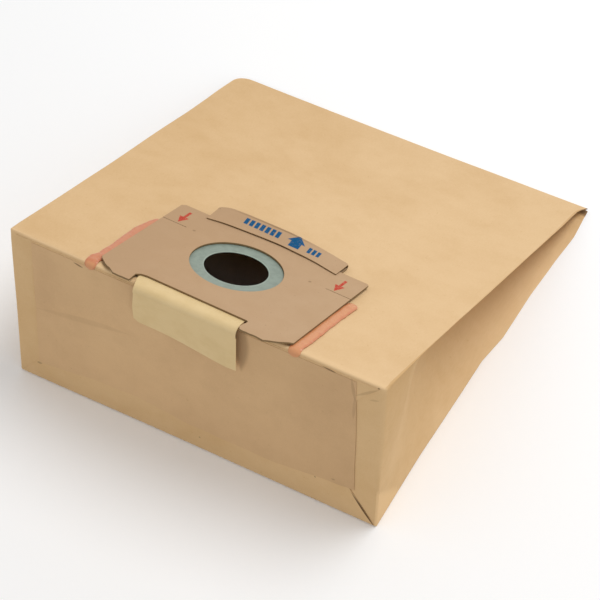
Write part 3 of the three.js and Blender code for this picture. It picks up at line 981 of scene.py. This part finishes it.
def rubber_material(name, base, matrix, inner):
    """Matt rubber, a little dusty, with a painted highlight as a paler rim round its hole."""
    shader = Shader(name)
    place = shader.place()
    dust = shader.noise(place, 3.5 * MM, 4)
    tint = shader.mix(shader.ramp(dust, 0.35, 0.7), tinted(base, 1.1), tinted(base, 0.93))
    x, y, _ = shader.parts(shader.moved(place, matrix))
    reach = shader.math("SQRT", x * x + y * y)
    # Painted highlight: a paler rim round the seal's hole.
    rim = 1 - shader.ramp(reach, inner + 0.3 * MM, inner + 1.1 * MM)
    tint = shader.mix(0.7 * rim, tint, tinted(base, 1.45))
    grain = shader.bump(shader.noise(place, 0.5 * MM, 2), 0.02 * MM, 0.4)
    return shader.surface(Base_Color=tint, Roughness=0.42 + 0.12 * dust, Normal=grain)


def glue_material(name, glue, rim, deep):
    """Hot glue: smooth and a little glassy, deeper in colour along its thicker rim.

    deep is added to the rim's colour everywhere, apart from where the glue droops over the front, which a
    painted light makes paler.
    """
    shader = Shader(name)
    streak = shader.noise(shader.place(), 3.2 * MM)
    outline = shader.ramp(shader.attribute("rim") + 0.35 * (streak - 0.5), 0.5, 0.92)
    # Painted light: paler where the glue droops over the front and faces forwards.
    painted_droop_light = shader.ramp(shader.facing((0, -1, 0)), 0.1, 0.6)
    streaks = shader.ramp(streak, 0.5, 0.75)
    tint = shader.mix((0.65 * outline + 0.35 * streaks + deep - 0.8 * painted_droop_light).clamped(), glue, rim)
    lumps = shader.bump(streak, 0.5 * MM, 0.5)
    return shader.surface(
        Base_Color=tint, Roughness=0.26 + 0.2 * streak, Normal=lumps, Coat_Weight=0.2, Coat_Roughness=0.2
    )


def floor_material(name, base):
    """A pale floor. The camera and mirror-like surfaces see it white, with the object's shadow."""
    shader = Shader(name)
    tint = shader.mix(shader.background(), base, (1, 1, 1, 1))
    return shader.surface(Base_Color=tint, Roughness=0.9, Specular_IOR_Level=0.0)


# Pieces


def over_edge(form, rear, lift, radius, drop, stand_off, rows, back=0.0):
    """A band's side view: along the top panel from the rear, round the front edge and down the front.

    It gives points (up the panel, outwards) and the outward direction at each. The bend's middle lies back
    from the edge, and rows is the number of points before the bend, on it and below it.
    """
    full_turn = math.pi / 2 - form.lean + form.slope
    down = np.array([-math.cos(full_turn), -math.sin(full_turn)])
    out = np.array([-math.sin(full_turn), math.cos(full_turn)])
    before, around, below = rows
    flat = np.stack([np.linspace(rear, back, before, endpoint=False), np.full(before, lift)], axis=1)
    angles = np.linspace(0, full_turn, around)
    ways = np.stack([-np.sin(angles), np.cos(angles)], axis=1)
    bend = np.array([back, lift - radius]) + radius * ways
    start = bend[-1]
    shares = np.linspace(0, 1, below + 1)[1:, None]
    away = (stand_off - start @ out) * ease(shares, -0.3, 1.3)
    fall = start + drop * shares * down + away * out
    return np.vstack([flat, bend, fall]), np.vstack([[(0, 1)] * before, ways, [out] * below])


def make_bag(form, finish):
    """The paper bag with the block bottom's flaps."""
    points, faces, tone, inside = bag_shell(form)
    low_flap = flap(form, 1.5 * MM, 34 * MM, 24.7 * MM)
    top_flap = flap(form, 4.0 * MM, 34 * MM, 25 * MM, top=True)
    points, faces = joined([(points, faces), low_flap, top_flap])
    plain = np.zeros(len(points) - len(tone))
    tone, inside = np.concatenate([tone, plain]), np.concatenate([inside, plain])
    material = paper_material("kraft_paper", finish.kraft, finish.kraft_fibres_and_shade, finish.crack_and_shadow, finish.lining)
    piece = mesh_object("paper_bag", points, faces, 60, tone=tone, inside=inside)
    finish_piece(piece, material, "bag")


def make_patch(form, finish):
    """The sheet glued over the flaps, with a wavering lower edge."""
    left, low_right, high_right = -101 * MM, 100 * MM, 98.2 * MM
    low_x = np.array([-101, -61, -36, -5, 51, 74, 100]) * MM
    low_h = np.array([15, 20.5, 21, 17, 18, 21, 23]) * MM
    thickness, lift, below_edge = 0.15 * MM, 0.28 * MM, 3.6 * MM
    p = np.linspace(0, 1, 110)[:, None]
    q = np.linspace(0, 1, 56)[None, :]
    x = lerp(left, lerp(low_right, high_right, q), p)
    low = np.interp(x, low_x, low_h) + 0.5 * MM * rough_plane(x, 0 * x, 7 * MM, 31)
    h = lerp(low, form.slant - below_edge, q)
    points, faces = sheet_body(form.on_front(x, h, lift + thickness), form.on_front(x, h, lift))
    # Painted shade: it is browner towards the right, and along a soft fold near its left edge.
    tone = -0.2 * ease(points[:, 0], 10 * MM, 100 * MM)
    tone -= 0.1 * crease(points[:, 0], points[:, 2], (-95 * MM, 66 * MM), (-94 * MM, 100 * MM), 7 * MM)
    piece = mesh_object("block_bottom_patch", points, faces, 50, tone=tone)
    material = paper_material("patch_paper", finish.patch, finish.patch_blotches_and_shade, finish.crack_and_shadow)
    finish_piece(piece, material, "bottom_patch")


def torn(start, end, count, depth, seed):
    """Points along a rough cut from start to end, without its ends."""
    shares = np.linspace(0, 1, count + 2)[1:-1]
    rise = rough(np.column_stack([shares * count, 0 * shares, 0 * shares]), 1.7, seed)
    return np.column_stack([lerp(a, b, shares) for a, b in zip(start, end)]) + np.outer(rise, (0, depth))


# Where the middle of the plate's notch and of its hole lies across the plate, and of its hole along it, in mm
CUTS_X, HOLE_Y = -2.3, 9


def plate_outline(collar):
    """The plate's outline: chamfered front corners, the strip's notch and a slit in each side."""
    right, rear = collar.plate_width / 2 / MM, collar.plate_depth / 2 / MM
    left, front = -right, -rear
    chamfer_x, chamfer_y = 13.5, 9.5
    notch_half, notch_depth = 34.2, 11
    notch_left, notch_right = CUTS_X - notch_half, CUTS_X + notch_half
    notch_rear = front + notch_depth
    slit_low, slit_high, slit_length = 25.45, 25.8, 15.5
    chamfer_left, chamfer_right = (left + chamfer_x, front), (right - chamfer_x, front)
    points = [
        (left, front + chamfer_y + 1),
        (left + 1.2, front + chamfer_y - 0.6),
        *torn((left + 2, front + chamfer_y - 1.6), chamfer_left, 5, 0.9, 41),
        chamfer_left,
        *torn(chamfer_left, (notch_left, front), 4, 0.8, 42),
        (notch_left, front + 0.3),
        (notch_left - 0.6, notch_rear - 3),
        (notch_left + 1.6, notch_rear - 0.8),
        (notch_left + 5, notch_rear),
        (notch_right - 1, notch_rear),
        (notch_right, notch_rear - 1),
        (notch_right - 1.2, front + 3),
        (notch_right + 0.4, front + 0.6),
        *torn((notch_right, front + 0.4), chamfer_right, 6, 0.9, 43),
        chamfer_right,
        *torn(chamfer_right, (right, front + chamfer_y), 5, 0.7, 44),
        (right, front + chamfer_y),
        (right, slit_low),
        (right - slit_length, slit_low),
        (right - slit_length, slit_high),
        (right, slit_high),
        (right, rear - 1),
        (right - 1, rear),
        (left + 2, rear),
        (left, rear - 2),
        (left, slit_high),
        (left + slit_length, slit_high),
        (left + slit_length, slit_low),
        (left, slit_low),
    ]
    return np.array(points) * MM


def add_loop(curve, points):
    """A closed straight-sided loop on a flat curve."""
    spline = curve.splines.new("POLY")
    spline.points.add(len(points) - 1)
    for slot, (x, y) in zip(spline.points, points):
        slot.co = (x, y, 0, 1)
    spline.use_cyclic_u = True


def make_plate(form, collar, finish):
    """The collar plate: an outline with its hole, given its thickness and softened edges."""
    hole_middle = np.array([CUTS_X, HOLE_Y]) * MM
    soft = 0.12 * MM
    angles = np.linspace(0, 2 * math.pi, 120, endpoint=False)
    curve = bpy.data.curves.new("plate_outline", "CURVE")
    curve.dimensions = "2D"
    curve.fill_mode = "BOTH"
    add_loop(curve, plate_outline(collar))
    add_loop(curve, hole_middle + collar.hole_radius * np.column_stack([np.cos(angles), np.sin(angles)]))
    curve.offset = -soft
    curve.bevel_depth = soft
    curve.bevel_resolution = 2
    curve.extrude = collar.plate_thickness / 2 - soft
    place = collar_matrix(form, collar)
    middle = Matrix.Translation((0, 0, collar.plate_lift + collar.plate_thickness / 2))
    piece = plain_mesh(new_object("plate_outline", curve), "board_plate", place @ middle)

    def red_arrows(shader, x, y):
        size = {"length": 14.6 * MM, "width": 5.9 * MM, "head": 7.4 * MM, "stem": 1.7 * MM, "towards": -1}
        left = arrow_mask(shader, x, y, (-51.4 * MM, 27.2 * MM), **size)
        return left.most(arrow_mask(shader, x, y, (49.2 * MM, 26.6 * MM), **size))

    dots = ((-39.6 * MM, 25.5 * MM), (34.8 * MM, 25.4 * MM))
    material = board_material("grey_board_plate", finish, place, finish.red_ink, red_arrows, 0.9, dots)
    finish_piece(softened(welded(piece), 35), material, "collar_plate")


def seal_build(collar, material):
    """The seal: a rounded flat section swept round a circle."""
    build = NodeBuild("seal_ring_build")
    inner = build.input("Inner Radius", collar.seal_inner)
    outer = build.input("Outer Radius", collar.seal_outer)
    thick = build.input("Thickness", collar.seal_thickness)
    lift = build.input("Lift", collar.seal_lift)
    finish = build.input("Material", material, "NodeSocketMaterial")
    sockets = {"Resolution": 160, "Radius": (inner + outer) * 0.5}
    circle = build.node("GeometryNodeCurvePrimitiveCircle", sockets=sockets)
    sockets = {"Width": outer - inner, "Height": thick}
    section = build.node("GeometryNodeCurvePrimitiveQuadrilateral", sockets=sockets)
    sockets = {"Curve": section, "Radius": thick * 0.4, "Count": 3}
    rounded = build.node("GeometryNodeFilletCurve", {"mode": "POLY"}, sockets)
    sweep = build.node("GeometryNodeCurveToMesh", sockets={"Curve": circle, "Profile Curve": rounded})
    shift = build.node("ShaderNodeCombineXYZ", sockets={"Z": lift + thick * 0.5})
    raised = build.node("GeometryNodeTransform", sockets={"Geometry": sweep, "Translation": shift})
    build.finish(raised, finish)
    return build


def make_seal(form, collar, finish):
    """The rubber seal under the plate's hole."""
    place = form.panel @ Matrix.Translation((*seal_centre(form), 0))
    material = rubber_material("teal_rubber", finish.rubber, place, collar.seal_inner)
    piece = softened(welded(seal_build(collar, material).made("rubber_seal", matrix=place)), 40)
    finish_piece(piece, material, "seal_ring")


def make_strip(form, collar, finish):
    """The shutter strip: flat under the collar, bulging over the edge, then hanging down the front."""
    middle, rear, lift, thickness = -2.9 * MM, 98 * MM, 0.2 * MM, 0.2 * MM
    bulge, hole = 3.9 * MM, 24 * MM
    rows = (40, 12, 20)
    columns = np.linspace(-1, 1, 56)
    inner, outer = [], []
    for column in columns:
        stand_off = lerp(1.3 * MM, 5.2 * MM, ease(column, -0.6, 1.0))
        drop = collar.strip_drop + 0.8 * MM * column - 1.6 * MM * ease(-column, 0.86, 1.0) ** 2
        side, ways = over_edge(form, rear, lift, bulge, drop, stand_off, rows)
        x = np.full(len(side), middle + column * collar.strip_width / 2)
        inner.append(np.column_stack([x, side]))
        outer.append(np.column_stack([x, side + thickness * ways]))
    # Its right edge curls outwards below the bend, its left widens to the rear, and it rises at the notch.
    along = np.array(inner)[..., 1]
    curl = 0.8 * MM * ease(columns, 0.75, 1.0)[:, None] ** 2 * (np.arange(sum(rows)) > rows[0] + rows[1])
    wider = 2.2 * MM * ease(-columns, 0, 1)[:, None] * ease(along, -4 * MM, 5 * MM)
    raised = 0.85 * MM * (1 - ease(along, 6 * MM, 16 * MM))
    change = np.stack([-wider, curl, raised], axis=-1)
    # The columns run from right to left, so that the faces point outwards.
    inner, outer = ((np.array(sheet) + change)[:, ::-1].reshape(-1, 3) for sheet in (inner, outer))
    faces = grid_faces(np.arange(len(outer)).reshape(len(columns), -1))
    faces, rim, circle = with_hole(faces, outer[:, :2], seal_centre(form), hole)
    inner[rim, :2] = outer[rim, :2] = circle
    outer, faces, inner = compact(outer, faces, inner)
    points, faces = closed_wall(placed(form.panel, outer), placed(form.panel, inner), faces)
    piece = mesh_object("shutter_strip", points, faces, 40)
    finish_piece(piece, cream_material("cream_paper", finish.cream), "closing_strip")


# Shapes of the pull tab at places across it, in mm: its fold's spring and its front edge's bow, as shares
TAB_SPRING = (
    (-41.7, -40, -35, -25, -15, 5, 20, 30, 38, 41.7),
    (0.27, 0.43, 0.8, 0.93, 0.98, 1, 0.74, 0.45, 0.16, 0),
)
TAB_BOW = (
    (-41.7, -36, -30, -21, -8.6, 0.5, 6.5, 13, 19, 28, 35, 41.4),
    (0.05, 0.35, 0.56, 0.72, 0.91, 1, 0.98, 0.87, 0.81, 0.6, 0.3, 0.05),
)
# The print on the pull tab: rows of bars as (start, pitch, number, height of the middle), in mm
TAB_BARS = ((-23, 3.4, 7, 52.9), (18.4, 2.9, 3, 51.9))


def tab_side(collar, spring, bow):
    """The pull tab's side view: the board's middle line from the lower leaf round the fold to the edge."""
    thick = collar.tab_thickness
    low, high = 0.6 * MM + thick / 2, 2.7 * MM + thick / 2
    rear = collar.plate_depth / 2 + collar.tab_reach - thick / 2
    leaf = 42.5 * MM
    top_rear = high + collar.tab_spring * spring
    front = collar.plate_depth / 2 - collar.tab_lap + 5.2 * MM * bow
    radius = (top_rear - low) / 2
    depth = min(radius, 1.6 * MM)
    turn_start = rear - depth
    lower = np.column_stack([np.linspace(leaf, turn_start, 12, endpoint=False), np.full(12, low)])
    angles = np.linspace(-math.pi / 2, math.pi / 2, 14)
    fold = np.column_stack([turn_start + depth * np.cos(angles), low + radius + radius * np.sin(angles)])
    share = np.linspace(0, 1, 25)[1:]
    top = lerp(top_rear, high + 0.25 * MM * bow, ease(share, -0.25, 1.05))
    return np.vstack([lower, fold, np.column_stack([lerp(turn_start, front, share), top])])


def make_tab(form, collar, finish):
    """The pull tab: one board folded back over the plate, whose fold springs up in the middle."""
    columns = np.linspace(-1, 1, 70)
    x = columns * collar.tab_width / 2
    spring, bow = (soft_line(x, np.array(places) * MM, shares) for places, shares in (TAB_SPRING, TAB_BOW))
    centre = np.array([tab_side(collar, *shares) for shares in zip(spring, bow)])
    way = np.gradient(centre, axis=1)
    way /= np.linalg.norm(way, axis=2)[..., None]
    out = np.stack([way[..., 1], -way[..., 0]], axis=-1)
    fold_start = collar.plate_depth / 2 + collar.tab_reach - collar.tab_thickness / 2 - 3 * MM
    corner = 1.2 * MM * ease(np.abs(columns), 0.965, 1.0)[:, None]
    centre[..., 0] -= corner * (centre[..., 0] > fold_start)
    across = np.broadcast_to(x[:, None, None], (*centre.shape[:2], 1))
    place = collar_matrix(form, collar)
    outer, inner = (
        placed(place, np.concatenate([across, centre + out * half], axis=-1))
        for half in (collar.tab_thickness / 2, -collar.tab_thickness / 2)
    )
    piece = softened(welded(mesh_object("pull_tab_board", *sheet_body(outer, inner))), 50)

    def arrow_and_bars(shader, x, y):
        tip = (10.2 * MM, 57.9 * MM)
        mask = arrow_mask(shader, x, y, tip, 8.6 * MM, 11.2 * MM, head=4.8 * MM, stem=6.6 * MM, towards=1)
        for start, pitch, number, middle in TAB_BARS:
            inside = band(shader, x, start * MM, (start + pitch * number - 0.9) * MM, 0.2 * MM)
            tall = band(shader, y, (middle - 2.1) * MM, (middle + 2.1) * MM, 0.3 * MM)
            phase = shader.math("FRACT", (x - start * MM) / (pitch * MM))
            mask = mask.most(inside * tall * (1 - shader.ramp(phase, 0.62, 0.78)))
        return mask

    material = board_material("grey_board_tab", finish, place, finish.blue_ink, arrow_and_bars, 0.25)
    finish_piece(piece, material, "pull_tab")


# The middle line of the glue on each side of the plate, in mm in the plate's frame: places across and along
GLUE_LINES = {
    -1: ((-59.4, -61.6, -62.7, -61.6, -61.2, -64.2), (24.5, 12, 3, -18, -34, -44.5)),
    1: ((63.1, 63.0, 62.6, 62.5, 62.6, 62.1), (25.4, 20, 6, -8, -24, -40)),
}


def glue_path(form, collar, side):
    """The middle line of a strip of glue: down the plate's side, round the bag's edge and down the front."""
    across, along = np.array(GLUE_LINES[side]) * MM
    fine = np.linspace(along[0], along[-1], 60)
    flat = np.column_stack([np.interp(-fine, -along, across), fine, np.zeros(60)])
    flat = placed(form.panel.inverted() @ collar_matrix(form, collar), flat)
    lift = 0.3 * MM + collar.glue_height / 2
    radius = form.sizes.top_fold_radius + lift
    back = form.sizes.top_fold_radius * math.tan((math.pi / 2 - form.lean + form.slope) / 2)
    flat = flat[flat[:, 1] > back + 0.5 * MM]
    wrap, _ = over_edge(form, back + 0.4 * MM, lift, radius, 0.9 * MM, lift + 0.2 * MM, (1, 10, 3), back)
    wrap = np.column_stack([np.full(len(wrap), flat[-1, 0]), wrap])
    points = np.vstack([np.column_stack([flat[:, :2], np.full(len(flat), lift)]), wrap[1:]])
    return placed(form.panel, points)


def glue_build(collar, material, seed):
    """A strip of glue: a flat section swept along its path, with round ends and an uneven surface."""
    build = NodeBuild("glue_strip_build")
    path = build.path()
    width = build.input("Width", collar.glue_width)
    height = build.input("Height", collar.glue_height)
    end = build.input("End Length", 3.4 * MM)
    uneven = build.input("Unevenness", 0.32 * MM)
    finish = build.input("Material", material, "NodeSocketMaterial")

    # The path, and the section's radius along it, which closes in a half circle at either end
    curve = build.node("GeometryNodeMeshToCurve", sockets={"Mesh": path})
    fine = build.node("GeometryNodeResampleCurve", sockets={"Curve": curve, "Count": 130})
    level = build.node("GeometryNodeSetCurveNormal", {"mode": "Z_UP"}, {"Curve": fine})
    along = build.number("GeometryNodeSplineParameter", "Length")
    whole = build.number("GeometryNodeSplineLength", "Length")
    near = build.math("MINIMUM", along, whole - along)
    gap = 1 - build.math("DIVIDE", near, end, clamp=True)
    radius = build.math("SQRT", 1.03 - gap * gap)

    # The section, which keeps how far across each of its points lies
    circle = build.node("GeometryNodeCurvePrimitiveCircle", sockets={"Resolution": 28, "Radius": 0.5})
    spot = {"Vector": build.node("GeometryNodeInputPosition")}
    across = abs(build.number("ShaderNodeSeparateXYZ", "X", sockets=spot)) * 2
    marked = build.node(
        "GeometryNodeStoreNamedAttribute",
        {"data_type": "FLOAT", "domain": "POINT"},
        {"Geometry": circle, "Name": "rim", "Value": across},
    )
    scale = build.node("ShaderNodeCombineXYZ", sockets={"X": width, "Y": height, "Z": 1})
    flat = build.node("GeometryNodeTransform", sockets={"Geometry": marked, "Scale": scale})
    sockets = {"Curve": level, "Profile Curve": flat, "Scale": radius, "Fill Caps": True}
    sweep = build.node("GeometryNodeCurveToMesh", sockets=sockets)

    # The uneven surface, mostly sideways
    place = build.node("GeometryNodeInputPosition")
    sockets = {"Vector": place, "W": seed, "Scale": 1 / (7 * MM), "Detail": 2}
    lumps = build.node("ShaderNodeTexNoise", {"noise_dimensions": "4D"}, sockets).outputs["Color"]
    centred = build.node("ShaderNodeVectorMath", {"operation": "SUBTRACT"}, {0: lumps, 1: (0.5, 0.5, 0.5)})
    most = build.node("ShaderNodeCombineXYZ", sockets={"X": uneven * 5, "Y": uneven, "Z": uneven})
    push = build.node("ShaderNodeVectorMath", {"operation": "MULTIPLY"}, {0: centred, 1: most})
    moved = build.node("GeometryNodeSetPosition", sockets={"Geometry": sweep, "Offset": push})
    build.finish(moved, finish)
    return build


def make_glue(form, collar, finish):
    """The two strips of hot glue along the plate's sides."""
    strips = (("glue_left", "glue_strip_left", -1, 0.75), ("glue_right", "glue_strip_right", 1, 0.15))
    for name, node, side, deep in strips:
        material = glue_material(name + "_glue", finish.glue, finish.glue_rim, deep)
        points = glue_path(form, collar, side)
        path = bpy.data.meshes.new(name + "_line")
        path.from_pydata(points.tolist(), [(i, i + 1) for i in range(len(points) - 1)], [])
        piece = glue_build(collar, material, 3 + side).made(name, path)
        finish_piece(softened(welded(piece), 80), material, node)


# Floor, light and camera


def make_floor(finish):
    """A wide square floor, just under the bag."""
    half, drop = 2.5, 0.1 * MM
    square = np.array([(-1, -1), (1, -1), (1, 1), (-1, 1)]) * half
    floor = mesh_object("floor", np.column_stack([square, np.full(4, -drop)]), np.array([[0, 1, 2, 3]]))
    floor.data.materials.append(floor_material("studio_floor", finish.floor))


def light_world(strength):
    """Even white light of a strength, which the camera sees as plain white."""
    world = bpy.data.worlds.new("studio")
    bpy.context.scene.world = world
    shader = Shader("studio", world)
    white = (1, 1, 1, 1)
    soft = shader.node("ShaderNodeBackground", sockets={"Color": white, "Strength": strength})
    plain = shader.node("ShaderNodeBackground", sockets={"Color": white, "Strength": 1})
    both = shader.node("ShaderNodeMixShader", sockets={0: shader.background(), 1: soft, 2: plain})
    shader.node("ShaderNodeOutputWorld", sockets={"Surface": both})


def add_lamp(name, place, target, size, watts):
    """A round soft lamp that shines from its place at the target."""
    lamp = bpy.data.lights.new(name, "AREA")
    lamp.shape = "DISK"
    lamp.size = size
    lamp.energy = watts
    piece = new_object(name, lamp)
    piece.location = place
    piece.rotation_euler = (Vector(target) - Vector(place)).to_track_quat("-Z", "Y").to_euler()


def add_camera():
    """The photograph's view: far off, from the front right and well above."""
    target = Vector((21.5, -44.2, 50.0)) * MM
    distance = 1.5309
    azimuth, elevation, roll = (math.radians(angle) for angle in (30.3144, 51.4339, -1.7475))
    flat = math.cos(elevation)
    way = Vector((math.sin(azimuth) * flat, -math.cos(azimuth) * flat, math.sin(elevation)))
    camera = bpy.data.cameras.new("photo_view")
    camera.sensor_width = 36
    camera.lens = 164.39
    camera.clip_end = 20
    piece = new_object("photo_view", camera)
    level = way.to_track_quat("Z", "Y").to_matrix().to_4x4()
    piece.matrix_world = Matrix.Translation(target + way * distance) @ level @ Matrix.Rotation(roll, 4, "Z")
    bpy.context.scene.camera = piece


# Operators and panel


def settings(context):
    """The bag's form, the collar's sizes and the finishes, from the scene's settings."""
    scene = context.scene
    return BagForm(scene.dustbag_sizes), scene.dustbag_collar, scene.dustbag_finishes


class DUSTBAG_OT_paper_bag(bpy.types.Operator):
    """Make the gusseted paper bag with its block bottom flaps and inlet hole"""

    bl_idname = "dustbag.paper_bag"
    bl_label = "Paper Bag"

    def execute(self, context):
        form, _, finish = settings(context)
        make_bag(form, finish)
        return {"FINISHED"}


class DUSTBAG_OT_bottom_patch(bpy.types.Operator):
    """Make the patch that is glued over the block bottom"""

    bl_idname = "dustbag.bottom_patch"
    bl_label = "Block Bottom Patch"

    def execute(self, context):
        form, _, finish = settings(context)
        make_patch(form, finish)
        return {"FINISHED"}


class DUSTBAG_OT_collar_plate(bpy.types.Operator):
    """Make the die-cut board plate with its hole, notch, slits and red arrows"""

    bl_idname = "dustbag.collar_plate"
    bl_label = "Collar Plate"

    def execute(self, context):
        make_plate(*settings(context))
        return {"FINISHED"}


class DUSTBAG_OT_seal(bpy.types.Operator):
    """Make the rubber seal under the plate's hole"""

    bl_idname = "dustbag.seal"
    bl_label = "Rubber Seal"

    def execute(self, context):
        make_seal(*settings(context))
        return {"FINISHED"}


class DUSTBAG_OT_shutter_strip(bpy.types.Operator):
    """Make the paper shutter strip that hangs over the front edge"""

    bl_idname = "dustbag.shutter_strip"
    bl_label = "Shutter Strip"

    def execute(self, context):
        make_strip(*settings(context))
        return {"FINISHED"}


class DUSTBAG_OT_pull_tab(bpy.types.Operator):
    """Make the folded board pull tab with its blue print"""

    bl_idname = "dustbag.pull_tab"
    bl_label = "Pull Tab"

    def execute(self, context):
        make_tab(*settings(context))
        return {"FINISHED"}


class DUSTBAG_OT_glue_strips(bpy.types.Operator):
    """Make the two strips of hot glue along the plate's sides"""

    bl_idname = "dustbag.glue_strips"
    bl_label = "Glue Strips"

    def execute(self, context):
        make_glue(*settings(context))
        return {"FINISHED"}


class DUSTBAG_OT_stage(bpy.types.Operator):
    """Make the floor, the studio light and the camera"""

    bl_idname = "dustbag.stage"
    bl_label = "Stage"

    def execute(self, context):
        make_floor(context.scene.dustbag_finishes)
        light_world(strength=0.62)
        add_lamp("key", place=(0.36, 0.40, 1.3), target=(0, 0, 0.05), size=0.8, watts=8.7)
        add_camera()
        context.scene.view_settings.view_transform = "Standard"
        return {"FINISHED"}


OPERATORS = [
    DUSTBAG_OT_paper_bag,
    DUSTBAG_OT_bottom_patch,
    DUSTBAG_OT_collar_plate,
    DUSTBAG_OT_seal,
    DUSTBAG_OT_shutter_strip,
    DUSTBAG_OT_pull_tab,
    DUSTBAG_OT_glue_strips,
    DUSTBAG_OT_stage,
]


class DUSTBAG_PT_panel(bpy.types.Panel):
    """The dust bag's settings and pieces in the 3D view's sidebar"""

    bl_idname = "DUSTBAG_PT_panel"
    bl_label = "Dust Bag"
    bl_space_type = "VIEW_3D"
    bl_region_type = "UI"
    bl_category = "Dust Bag"

    def draw(self, context):
        scene = context.scene
        for operator in OPERATORS:
            self.layout.operator(operator.bl_idname)
        for group in (scene.dustbag_sizes, scene.dustbag_collar, scene.dustbag_finishes):
            box = self.layout.box()
            for name in group.__annotations__:
                box.prop(group, name)


CLASSES = [BagSizes, CollarSizes, Finishes, *OPERATORS, DUSTBAG_PT_panel]


def register():
    for cls in CLASSES:
        bpy.utils.register_class(cls)
    bpy.types.Scene.dustbag_sizes = PointerProperty(type=BagSizes)
    bpy.types.Scene.dustbag_collar = PointerProperty(type=CollarSizes)
    bpy.types.Scene.dustbag_finishes = PointerProperty(type=Finishes)


def unregister():
    del bpy.types.Scene.dustbag_finishes
    del bpy.types.Scene.dustbag_collar
    del bpy.types.Scene.dustbag_sizes
    for cls in reversed(CLASSES):
        bpy.utils.unregister_class(cls)


def main():
    register()
    bpy.ops.dustbag.paper_bag()
    bpy.ops.dustbag.bottom_patch()
    bpy.ops.dustbag.collar_plate()
    bpy.ops.dustbag.seal()
    bpy.ops.dustbag.shutter_strip()
    bpy.ops.dustbag.pull_tab()
    bpy.ops.dustbag.glue_strips()
    bpy.ops.dustbag.stage()


if __name__ == "__main__":
    main()
